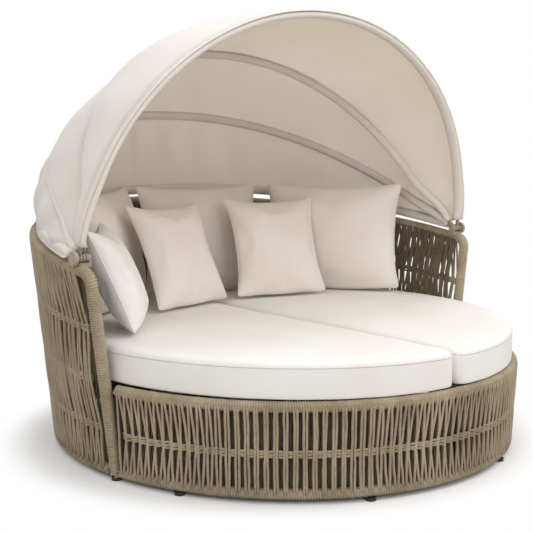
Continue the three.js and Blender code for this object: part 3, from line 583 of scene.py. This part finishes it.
def weaveWall(wall, start, end, rimAt, leaning):
    shape = dict(weaveShape, **weaves[wall])
    nodes = [f"{wall}_weave_{i + 1}" for i in range(shape["bays"])]
    start, end = start + shape["inset"], end - shape["inset"]
    pitch = (end - start) / shape["pairs"]
    middles = start + (np.arange(shape["pairs"]) + 0.5) * pitch
    share = np.linspace(0, 1, shape["steps"])
    low = walls[wall]["low"][2]
    bundles, tones = [], []
    # two ropes to a strand outside, which part towards the rows, and three inside, which close the wall
    layers = (
        (shape["outerSlant"], shape["outerDepth"], 0, (-1, 1), shape["spread"]),
        (shape["innerSlant"], shape["innerDepth"], shape["innerOffset"], (-2, 0, 2),
         [0] * len(shape["levels"])),
    )
    # how near each height is to a bound row
    near = np.max([np.exp(-((share - row) / shape["nearRow"]) ** 2) for row in shape["rows"]], axis=0)
    for slants, depth, offset, hands, spread in layers:
        shift = np.interp(share, shape["levels"], slants)
        parting = np.abs(leaning(middles))[:, None] * np.interp(share, shape["levels"], spread) * pitch
        for hand in hands:
            draws = randomDraws.normal(0, shape["wobble"], (shape["pairs"], shape["steps"]))
            wobble = np.cumsum(draws, axis=1)
            wobble -= wobble[:, -1:] * share
            apart = hand * (shape["apart"] - shape["drawTogether"] * near
                            + shape["sway"] * np.sin(share * shape["swayTurns"] + hand))
            apart = apart + hand * parting * meanRadius
            angle = (middles[:, None] + (leaning(middles)[:, None] * shift + offset) * pitch
                     + (wobble + apart) / meanRadius)
            height = low + (rimAt(middles)[:, None] - low) * share
            outward = (depth - np.sign(depth) * shape["drawInwards"] * near
                       + randomDraws.normal(0, shape["depthWobble"], (shape["pairs"], 1)))
            path = wallPoint(wall, angle, height, outward)
            bundles.append(ropeBundle(path, wallNormal(wall, angle, height), shape["radius"]))
            tones += [int(depth < 0)] * len(bundles[-1][1])
    # the level ropes pass behind each outer pair and come forward between pairs
    for row in shape["rows"]:
        slant = np.interp(row, shape["levels"], shape["outerSlant"])
        pairAngle = middles + leaning(middles) * slant * pitch
        between = (pairAngle[1:] + pairAngle[:-1]) / 2
        knotAngle = np.sort(np.concatenate([pairAngle, between]))
        knotDepth = np.where(np.arange(len(knotAngle)) % 2 == 0, shape["rowDepth"] - shape["rowBehind"],
                             shape["rowDepth"] + shape["rowInFront"])
        over = shape["rowEnd"] * pitch
        angle = np.linspace(pairAngle[0] - over, pairAngle[-1] + over, shape["pairs"] * 4)
        place = np.interp(angle, knotAngle, np.arange(len(knotAngle)))
        whole = np.clip(place.astype(int), 0, len(knotAngle) - 2)
        blend = smooth(place - whole)
        outward = knotDepth[whole] * (1 - blend) + knotDepth[whole + 1] * blend
        for k in (-1, 0, 1):
            wave = sum(size * np.sin(angle * turns + k * phase) for size, turns, phase in shape["rowWaves"])
            height = low + (rimAt(angle) - low) * row + k * shape["rowGap"] + wave
            path = wallPoint(wall, angle, height, outward + shape["rowLean"] * k)[None]
            bundles.append(ropeBundle(path, wallNormal(wall, angle, height)[None], shape["radius"]))
            tones += [0] * len(bundles[-1][1])
    corners, faces, maps = joinBundles(bundles)
    piece = makePiece(wall + "_weave_rope", corners, faces, rope, "rope", maps)
    # the second material darkens the inner layer's ropes: painted shade
    piece.data.materials.append(shadedInnerRope)
    piece.data.polygons.foreach_set("material_index", tones)
    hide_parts(*nodes)
    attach(piece, "frame")


# Pairs on the front are drawn towards one place at the row, more the further round they stand from it
def frontLeaning(angle):
    shape = weaves["front"]
    away = angle - shape["middle"]
    return -np.sign(away) * smooth((np.abs(away) - shape["upright"]) / shape["leanReach"])


# Pairs on the shell lean towards the nearer post as they go down
def shellLeaning(angle):
    away = np.pi - angle
    return np.sign(away) * smooth(np.abs(away) / weaves["shell"]["leanReach"])


weaveWall("front", -frontEnd, frontEnd, frontRim, frontLeaning)
weaveWall("shell", shellStart, shellEnd, shellRim, shellLeaning)
print("daybed: walls are woven")


# Filling: cloth is blown up by an even pressure for a few frames, and no point moves further than the cap
clothSettings = {"quality": 5, "mass": 0.25, "use_pressure": True}


def fillCloth(piece, filling):
    rest = cornersOf(piece)
    pick(piece)
    modifier = piece.modifiers.new("Filling", "CLOTH")
    settings = modifier.settings
    for key, value in clothSettings.items():
        setattr(settings, key, value)
    settings.tension_stiffness = settings.compression_stiffness = filling["stiffness"]
    settings.shear_stiffness = filling["stiffness"] / 2
    settings.bending_stiffness = filling["bending"]
    settings.uniform_pressure_force = filling["pressure"]
    settings.effector_weights.gravity = 0
    modifier.collision_settings.use_collision = False
    modifier.point_cache.frame_start = 1
    modifier.point_cache.frame_end = filling["frames"]
    for number in range(1, filling["frames"] + 1):
        bpy.context.scene.frame_set(number)
    bpy.ops.object.modifier_apply(modifier="Filling")
    bpy.context.scene.frame_set(1)
    move = cornersOf(piece) - rest
    length = np.linalg.norm(move, axis=1, keepdims=True)
    moveCorners(piece, rest + move * np.minimum(1, filling["cap"] / np.maximum(length, 1e-9)))


# Seat cushions: half ovals of foam in sewn covers. The top is drawn in rings round the middle, which
# shrink down to the hole and rise by the crown.
seatCushion = {"halfWidth": 0.891, "front": 0.953, "back": 0.900, "split": 0.002, "low": 0.3443,
               "height": 0.126, "lowEdge": 0.007, "topEdge": 0.024, "corner": 0.040, "spacing": 0.040,
               "start": 0.004, "crown": 0.006, "crownPower": 4, "middle": 0.42, "hole": 0.12,
               "outlineSteps": 200, "edgeSteps": 5, "sideSteps": 4, "topRings": 14, "seam": 0.0021,
               "seamDrop": 0.021,
               "pressure": 3.0, "cap": 0.008, "frames": 14, "stiffness": 15, "bending": 0.5}


# The outline of a cushion, its corners rounded, pulled in evenly by inset
def cushionRing(inset, side):
    shape = seatCushion
    angle = np.linspace(0, math.pi, shape["outlineSteps"])
    depth = np.where(angle < math.pi / 2, shape["front"], shape["back"])
    half, depth = shape["halfWidth"] - inset, depth - inset
    arc = np.stack([np.maximum(half * np.sin(angle), inset), -depth * np.cos(angle)], 1)
    ring = np.concatenate([arc, arc[:1]])
    along = lengthAlong(ring)
    count = int(2 * (shape["halfWidth"] + shape["front"] + shape["back"]) / shape["spacing"])
    places = np.linspace(0, along[-1], count, endpoint=False)
    ring = sampled(along, ring, places)
    for _ in range(int((shape["corner"] / shape["spacing"]) ** 2 * 2)):
        ring = ring / 2 + (np.roll(ring, 1, 0) + np.roll(ring, -1, 0)) / 4
    return np.stack([side * (ring[:, 0] + shape["split"]), ring[:, 1]], 1)


def makeSeatCushion(name, side):
    shape = seatCushion
    low, high = shape["low"], shape["low"] + shape["height"]
    lowEdge, topEdge = shape["lowEdge"], shape["topEdge"]
    small = shape["start"]
    turns = np.linspace(0, math.pi / 2, shape["edgeSteps"])
    inwards = np.linspace(1, shape["hole"], shape["topRings"])[1:]
    table = [(lowEdge, low, share) for share in inwards[::-1]]
    table += [(lowEdge * (1 - math.sin(t)), low + lowEdge * (1 - math.cos(t)), 1) for t in turns]
    table += [(0, z, 1) for z in np.linspace(low + lowEdge, high - topEdge, shape["sideSteps"])[1:-1]]
    table += [(topEdge * (1 - math.cos(t)), high - topEdge * (1 - math.sin(t)), 1) for t in turns]
    table += [(topEdge, high + shape["crown"] * (1 - share ** shape["crownPower"]), share)
              for share in inwards]
    middle = np.array([side * shape["halfWidth"] * shape["middle"], 0])
    corners = []
    for inset, z, share in table:
        ring = cushionRing(inset + small, side)
        corners += [(*point, z) for point in middle + (ring - middle) * share]
    index = np.arange(len(corners)).reshape(len(table), -1)
    piece = makePiece(name, corners, closedTube(index), seatCloth)
    outwardFaces(piece)
    fillCloth(piece, shape)
    places = cornersOf(piece)
    places[:, 2] = np.clip(places[:, 2], low, high + shape["crown"])
    places[:, 0] = side * np.maximum(side * places[:, 0], shape["split"])
    moveCorners(piece, places)
    applyModifier(piece, "Smooth", "SMOOTH", {"factor": 0.5, "iterations": 2})
    applyModifier(piece, "Fine", "SUBSURF", {"levels": 1, "render_levels": 1})
    return piece


# A sewn seam: a thin cord that lies on the cover, along the points of the cover nearest to a path
seamStep = 0.012


def addSeam(piece, path, radius, material):
    tree = BVHTree.FromObject(piece, bpy.context.evaluated_depsgraph_get())
    points = np.array([tree.find_nearest(Vector(p))[0] for p in path])
    points = np.concatenate([points, points[:1], points[1:2]])
    along = lengthAlong(points)
    line = sampled(along, points, np.linspace(0, along[-2], int(along[-2] / seamStep)))
    corners, faces, _ = ropeBundle(line[None], np.array([0, 0, 1.0]) + 0 * line[None], radius)
    pick(piece, makePiece(piece.name + "_line", corners, faces, material))
    bpy.ops.object.join()


for name, side in (("left_cushion", -1), ("right_cushion", 1)):
    cushion = makeSeatCushion(name, side)
    seamLevel = seatCushion["low"] + seatCushion["height"] - seatCushion["seamDrop"]
    path = [(*point, seamLevel) for point in cushionRing(0.0, side)]
    # the seat seams take the darker cord: painted shade
    addSeam(cushion, path, seatCushion["seam"], seamShadeThread)
    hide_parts("left_seat_cushion" if side < 0 else "right_seat_cushion")
    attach(cushion, "frame")
print("daybed: seat cushions are filled")


# Pillows: two squares of cloth sewn round their edge, filled, then stood on the seat
pillowShape = {"grid": 40, "start": 0.6, "pull": 0.012, "sag": 0.026, "sagPower": 1.5, "crumple": 0.45,
               "bead": 0.0019, "seat": 0.4708, "clear": 0.0006,
               "pressure": 4.5, "cap": 0.05, "frames": 20, "stiffness": 12, "bending": 0.6}
pillows = [
    {"name": "left_back", "size": (0.650, 0.480, 0.150), "at": (-0.4277, 0.5084), "turn": 40, "lean": 10},
    {"name": "middle_back", "size": (0.650, 0.480, 0.150), "at": (0.0891, 0.6209), "turn": -3, "lean": 9},
    {"name": "right_back", "size": (0.650, 0.480, 0.150), "at": (0.6042, 0.3474), "turn": -56, "lean": 4},
    {"name": "left_scatter", "size": (0.450, 0.450, 0.130), "at": (-0.1916, 0.3150), "turn": 14, "lean": 23},
    {"name": "right_scatter", "size": (0.450, 0.450, 0.130), "at": (0.2807, 0.3069), "turn": -14, "lean": 20},
    {"name": "side", "size": (0.400, 0.400, 0.150), "at": (-0.6309, 0.0441), "turn": 53, "lean": 24},
]


def makePillow(pillow):
    width, height, thick = pillow["size"]
    shape = pillowShape
    n, pull, sag, seat = shape["grid"], shape["pull"], shape["sag"], shape["seat"]
    u, v = np.meshgrid(np.linspace(-1, 1, n + 1), np.linspace(-1, 1, n + 1), indexing="ij")
    crown = np.sqrt(np.maximum((1 - u * u) * (1 - v * v), 0))
    start = shape["start"]
    x = u * (width / 2 - pull * (1 - v * v))
    z = v * (height / 2 - pull * (1 - u * u))
    front = np.stack([x, -start * thick / 2 * crown, z], -1).reshape(-1, 3)
    back = np.stack([x, start * thick / 2 * crown, z], -1).reshape(-1, 3)
    # the back shares the front's points round the edge
    index = np.arange((n + 1) ** 2).reshape(n + 1, n + 1)
    rim = np.zeros((n + 1, n + 1), bool)
    rim[[0, -1]] = rim[:, [0, -1]] = True
    other = index.copy()
    other[~rim] = (n + 1) ** 2 + np.arange((~rim).sum())
    corners = np.concatenate([front, back[~rim.ravel()]])
    faces = np.concatenate([gridFaces(index)[:, [0, 3, 2, 1]], gridFaces(other)])
    # and its map lies a metre beside the front's
    flat = np.stack([u * width / 2, v * height / 2], -1).reshape(-1, 2)
    mapPlaces = np.concatenate([flat, flat[~rim.ravel()]])[faces.ravel()]
    mapPlaces[len(mapPlaces) // 2:] += (1.0, 0.0)
    material = palePillowCloth if pillow["name"] == "side" else pillowCloth
    piece = makePiece(pillow["name"] + "_cover", corners, faces.tolist(), material, "pillow", mapPlaces)
    plump = cornersOf(piece) * (1, 1 / start, 1)
    fillCloth(piece, shape)
    places = cornersOf(piece)
    places *= np.array([width, thick, height]) / np.ptp(places, axis=0)
    moveCorners(piece, plump + (places - plump) * shape["crumple"])
    # the bottom seam sags to the seat between its corners
    places = cornersOf(piece)
    across, up = places[:, 0] / (width / 2), places[:, 2] / height + 0.5
    bottom = (sag + pull) * (1 - np.clip(across, -1, 1) ** 2) * np.clip(1 - up, 0, 1) ** shape["sagPower"]
    places[:, 2] += height / 2 + sag - bottom
    lean, turn = -math.radians(pillow["lean"]), math.radians(pillow["turn"])
    y = places[:, 1] * math.cos(lean) - places[:, 2] * math.sin(lean)
    z = places[:, 1] * math.sin(lean) + places[:, 2] * math.cos(lean)
    x = places[:, 0] * math.cos(turn) - y * math.sin(turn) + pillow["at"][0]
    y = places[:, 0] * math.sin(turn) + y * math.cos(turn) + pillow["at"][1]
    places = np.stack([x, y, np.maximum(z + seat, seat + shape["clear"])], 1)
    moveCorners(piece, places)
    loop = np.concatenate([index[:-1, 0], index[-1, :-1], index[:0:-1, -1], index[0, :0:-1]])
    border = places[loop]
    applyModifier(piece, "Fine", "SUBSURF", {"levels": 1, "render_levels": 1})
    addSeam(piece, border, shape["bead"], material)
    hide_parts(pillow["name"] + "_pillow")
    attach(piece, "frame")


for pillow in pillows:
    makePillow(pillow)
print("daybed: pillows are filled and placed")


# Hood: four bows turn about one line, with a panel of cloth between each two. A bow is an arch in its own
# plane whose legs flare out to the eyes at the pivot.
pivot = np.array([0, -0.099, 0.776])
bows = {
    "front": {"body": "front_bow", "angle": 10.4, "halfWidth": 0.9496, "reach": 0.872, "power": 2.02,
              "eye": 0.9646},
    "upper": {"body": "upper_bow", "angle": -35.4, "halfWidth": 0.8626, "reach": 0.928, "power": 2.21,
              "eye": 0.9406},
    "lower": {"body": "lower_bow", "angle": -60.8, "halfWidth": 0.9246, "reach": 1.039, "power": 2.24,
              "eye": 0.9526},
    "rear": {"body": "frame", "angle": -79.7, "halfWidth": 0.9756, "reach": 0.954, "power": 2.17,
             "eye": 0.9766},
}
hoodShape = {"clothStart": 0.038, "lift": 0.0106, "thickness": 0.0014, "along": 176, "across": 22,
             "legReach": 0.150, "flareReach": 0.275, "swellSpan": 0.450, "pleatReach": 0.26,
             "pleatPhase": 0.6, "foldStart": 0.25, "foldReach": 0.4, "foldSlant": 1.5, "foldWander": 4,
             "wander": [(0.35, 11, 1.3), (0.25, 23, 0.4)]}


def archPlace(bow, angle):
    sine, cosine = np.sin(angle), np.cos(angle)
    reach = bow["reach"] * np.maximum(sine, 0) ** (2 / bow["power"])
    width = bow["halfWidth"] * np.sign(cosine) * np.abs(cosine) ** (2 / bow["power"])
    flareStart = hoodShape["legReach"] / 2
    flare = 1 - smooth((reach - flareStart) / (hoodShape["flareReach"] - flareStart))
    return width + np.sign(cosine) * (bow["eye"] - bow["halfWidth"]) * flare, reach


# Points of a bow from share 0 on the right to 1 on the left, lifted out of its arch
def bowPoint(bow, share, lift=0.0):
    angle = np.asarray(share) * math.pi
    nudge = np.minimum(np.minimum(angle, math.pi - angle) / 4, math.radians(0.1))
    x, reach = archPlace(bow, angle)
    x0, reach0 = archPlace(bow, angle - nudge)
    x1, reach1 = archPlace(bow, angle + nudge)
    length = np.hypot(x1 - x0, reach1 - reach0)
    out = reach + lift * (x0 - x1) / length
    tilt = math.radians(bow["angle"])
    return np.stack([x + lift * (reach1 - reach0) / length,
                     pivot[1] - out * math.sin(tilt), pivot[2] + out * math.cos(tilt)], -1)


def archShares(bow, steps, start=hoodShape["clothStart"]):
    first = math.asin((start / bow["reach"]) ** (bow["power"] / 2)) / math.pi
    return np.linspace(first, 1 - first, steps + 1)


# swell is how far a panel blows out between its bows; pleats gather it at the hubs; folds hang in it
panels = {
    "front": {"from": "front", "to": "upper", "ends": (-0.016, 0.0003), "swell": 0.056, "pleats": 5,
              "pleatDepth": 0.014, "folds": 0.0030, "foldCount": 9, "flat": (2.85, 0.78)},
    "middle": {"from": "upper", "to": "lower", "ends": (0.0003, 0.0003), "swell": 0.032, "pleats": 4,
               "pleatDepth": 0.009, "folds": 0.0025, "foldCount": 11, "flat": (2.95, 0.46)},
    "rear": {"from": "lower", "to": "rear", "ends": (0.0003, -0.016), "swell": 0.048, "pleats": 4,
             "pleatDepth": 0.010, "folds": 0.0095, "foldCount": 17, "flat": (3.05, 0.42)},
}


def panelPoints(panel, lift):
    start, end, shape = bows[panel["from"]], bows[panel["to"]], hoodShape
    m, n = shape["along"], shape["across"]
    a = bowPoint(start, archShares(start, m), lift)[:, None]
    b = bowPoint(end, archShares(end, m), lift)[:, None]
    length = np.linalg.norm(a - b, axis=-1)
    place = np.linspace(0, 1, n + 1)
    share = (panel["ends"][0] / length) * (1 - place) + (1 - panel["ends"][1] / length) * place
    inside = np.clip(share, 0, 1)
    bulge = 4 * inside * (1 - inside)
    out = normalise((a + b) / 2 - pivot)
    reach = np.linalg.norm((a + b) / 2 - pivot, axis=-1)
    swell = panel["swell"] * np.minimum(length / shape["swellSpan"], 1) * bulge
    # pleats run out from the hubs and fade; softer folds lie across the arch and wander
    fade = np.exp(-((reach - shape["clothStart"]) / shape["pleatReach"]) ** 2)
    pleat = panel["pleatDepth"] * fade * np.sin(inside * panel["pleats"] * 2 * math.pi + shape["pleatPhase"])
    along = np.linspace(0, 1, m + 1)[:, None]
    wander = sum(size * np.sin(along * turns + phase) for size, turns, phase in shape["wander"])
    fold = panel["folds"] * np.sin(along * panel["foldCount"] * 2 * math.pi + wander * shape["foldWander"]
                                   + inside * shape["foldSlant"])
    hang = smooth((reach - shape["foldStart"]) / shape["foldReach"])
    move = swell + pleat * np.sqrt(np.maximum(bulge, 0)) + fold * bulge * hang
    points = a * (1 - share[..., None]) + b * share[..., None] + out * move[..., None]
    return points, inside


def makePanel(name, panel):
    points, inside = panelPoints(panel, hoodShape["lift"])
    rows, columns = points.shape[:2]
    faces = gridFaces(np.arange(rows * columns).reshape(rows, columns))
    down = lengthAlong(points)
    across = lengthAlong(points[:, columns // 2])[:, None] + 0 * down
    flatMap = np.stack([across, down], -1).reshape(-1, 2)
    piece = makePiece(name + "_panel", points.reshape(-1, 3), faces.tolist(), canvas, "cloth",
                      flatMap[faces.ravel()])
    weights = piece.data.attributes.new("turning", "FLOAT", "POINT")
    weights.data.foreach_set("value", (1 - inside).ravel().astype(np.float32))
    # the inside face takes the warmer copy of the canvas: painted warm light
    piece.data.materials.append(insideWarmLight)
    applyModifier(piece, "Cloth", "SOLIDIFY", {"thickness": hoodShape["thickness"], "offset": 0.0,
                                               "material_offset": 1})
    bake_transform(piece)
    # each point's share of the angle between the two bows, all the way down to the hubs, is read back from
    # the mesh
    turning = np.empty(len(piece.data.vertices), np.float32)
    piece.data.attributes["turning"].data.foreach_get("value", turning)
    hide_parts(name + "_cloth")


# Sleeves: each bow runs in a sleeve of cloth sewn to the panels, gathered and roomier at the legs
sleeveShape = {"lift": 0.0128, "drop": 0.0142, "start": 0.040, "along": 150, "sides": 18, "gather": 0.66,
               "gatherReach": 0.12, "legRoom": 0.3, "mapLength": 3.0, "mapTurn": 0.012}
sleeves = {
    "front": {"halfWidth": 0.023, "shift": 0.007},
    "upper": {"halfWidth": 0.019, "shift": 0.0},
    "lower": {"halfWidth": 0.019, "shift": 0.0},
    "rear": {"halfWidth": 0.020, "shift": -0.003},
}


def makeSleeve(name, sleeve):
    shape, bow = sleeveShape, bows[name]
    shares = archShares(bow, shape["along"], shape["start"])
    middle = bowPoint(bow, shares)
    outward = normalise(bowPoint(bow, shares, 0.01) - middle)
    tilt = math.radians(bow["angle"])
    across = np.array([0, math.cos(tilt), math.sin(tilt)])
    reach = np.linalg.norm((middle - pivot)[:, 1:], axis=1)
    gather = shape["gather"] + (1 - shape["gather"]) * smooth(reach / shape["gatherReach"])
    turn = np.arange(shape["sides"]) / shape["sides"] * 2 * math.pi
    wide = (sleeve["halfWidth"] * np.cos(turn) + sleeve["shift"]) * gather[:, None]
    high = np.where(np.sin(turn) > 0, shape["lift"], shape["drop"]) * np.sin(turn)
    high = high * (1 + shape["legRoom"] * np.exp(-(reach[:, None] / hoodShape["flareReach"]) ** 2))
    rings = middle[:, None] + wide[..., None] * across + high[..., None] * outward[:, None]
    index = np.arange(high.size).reshape(high.shape)
    faces = closedTube(index)
    down = np.linspace(0, shape["mapLength"], len(shares))[:, None]
    flatMap = np.stack([down + 0 * turn, shape["mapTurn"] * turn + 0 * down], -1).reshape(-1, 2)
    piece = makePiece(name + "_sleeve", rings.reshape(-1, 3), faces, doubledCanvas, "cloth",
                      mapOfFaces(flatMap, faces))
    outwardFaces(piece)
    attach(piece, bow["body"])


for name, panel in panels.items():
    makePanel(name, panel)
for name, sleeve in sleeves.items():
    makeSleeve(name, sleeve)
print("daybed: hood is covered")


# Finishes of the pieces that come with the frame. The deck frame's coat is its own dark brown, darkened
# further as painted shade.
finishes = {
    "glide": footNylon, "deck_frame": deckCoatAndShade, "connector": steel, "bow": bowCoat, "hub_bracket": hubCoat,
    "hub_knob": knobNylon, "pin": steel,
}
for part in frame["record"]["subparts"]:
    node = frame["nodes"][part["node"]]
    finish = finishes.get(part["material_slot"])
    if finish and not node.hide_render:
        node.data.materials.clear()
        node.data.materials.append(finish)


# Stage: a pale floor that turns white away from the daybed, and soft studio light. The floor looks white
# but lights the daybed as a greyer one does.
studio = {
    "floor": "#ffffff", "floorLight": "#b9b6b2", "floorSize": 60, "floorDrop": 0.0002,
    "floorFade": (0.95, 1.16), "world": 0.72,
}
# Lamps: where each stands, where it points, how wide it is and how strong
lamps = {
    "key": ((2.6, -3.0, 4.6), (0, 0, 0.5), 3.2, 70),
    "fill": ((-4.2, -2.4, 3.6), (0, 0, 0.6), 3.5, 44),
    "front": ((-1.2, -5.2, 2.4), (0, 0.3, 0.6), 3.0, 46),
    "top": ((0.3, 0.2, 5.0), (0, 0, 0), 4.0, 64),
}


# 1 for what the camera sees, straight or by a shine, and 0 for the light that falls on the daybed
def cameraAndShine(tree):
    path = addNode(tree, "ShaderNodeLightPath").outputs
    seen = addMath(tree, "MAXIMUM", path["Is Camera Ray"], path["Is Glossy Ray"])
    return addMath(tree, "MAXIMUM", seen, path["Is Transmission Ray"])


def makeStage():
    world = bpy.data.worlds.new("studio")
    world.use_nodes = True
    tree = world.node_tree
    background = tree.nodes["Background"]
    background.inputs["Color"].default_value = (1, 1, 1, 1)
    strength = addNode(tree, "ShaderNodeMapRange", {"To Min": studio["world"], "To Max": 1.0},
                       {"Value": cameraAndShine(tree)})
    tree.links.new(strength.outputs["Result"], background.inputs["Strength"])
    bpy.context.scene.world = world
    bpy.ops.mesh.primitive_plane_add(size=studio["floorSize"], location=(0, 0, -studio["floorDrop"]))
    floor = bpy.context.active_object
    floor.name = "floor"
    material, tree, shader = startMaterial("Matt white studio floor", {
        "Roughness": 0.9, "Specular IOR Level": 0.1})
    seen = cameraAndShine(tree)
    # sockets 6 and 7 of this node are its two colours, and 2 is the mixed one
    tone = addNode(tree, "ShaderNodeMix", {"data_type": "RGBA"}, {0: seen})
    tone.inputs[6].default_value = hexColour(studio["floorLight"])
    tone.inputs[7].default_value = hexColour(studio["floor"])
    tree.links.new(tone.outputs[2], shader.inputs["Base Color"])
    far = addNode(tree, "ShaderNodeVectorMath", {"operation": "LENGTH"}, {0: objectPlace(tree)})
    near, white = studio["floorFade"]
    fade = addNode(tree, "ShaderNodeMapRange",
                   {"interpolation_type": "SMOOTHSTEP", "From Min": near, "From Max": white},
                   {"Value": far.outputs["Value"]})
    glow = addNode(tree, "ShaderNodeEmission", {"Color": (1, 1, 1, 1), "Strength": 1.0})
    mixed = addNode(tree, "ShaderNodeMixShader", links={
        0: addMath(tree, "MULTIPLY", fade.outputs["Result"], seen),
        1: shader.outputs["BSDF"], 2: glow.outputs["Emission"]})
    tree.links.new(mixed.outputs["Shader"], tree.nodes["Material Output"].inputs["Surface"])
    floor.data.materials.append(material)
    for name, (place, aim, size, power) in lamps.items():
        light = bpy.data.lights.new(name, "AREA")
        light.shape = "DISK"
        light.size = size
        light.energy = power
        item = bpy.data.objects.new(name, light)
        item.location = place
        item.rotation_euler = (Vector(aim) - Vector(place)).to_track_quat("-Z", "Y").to_euler()
        bpy.context.scene.collection.objects.link(item)


makeStage()
bpy.context.scene.view_settings.view_transform = "Standard"
print("daybed: stage is set")
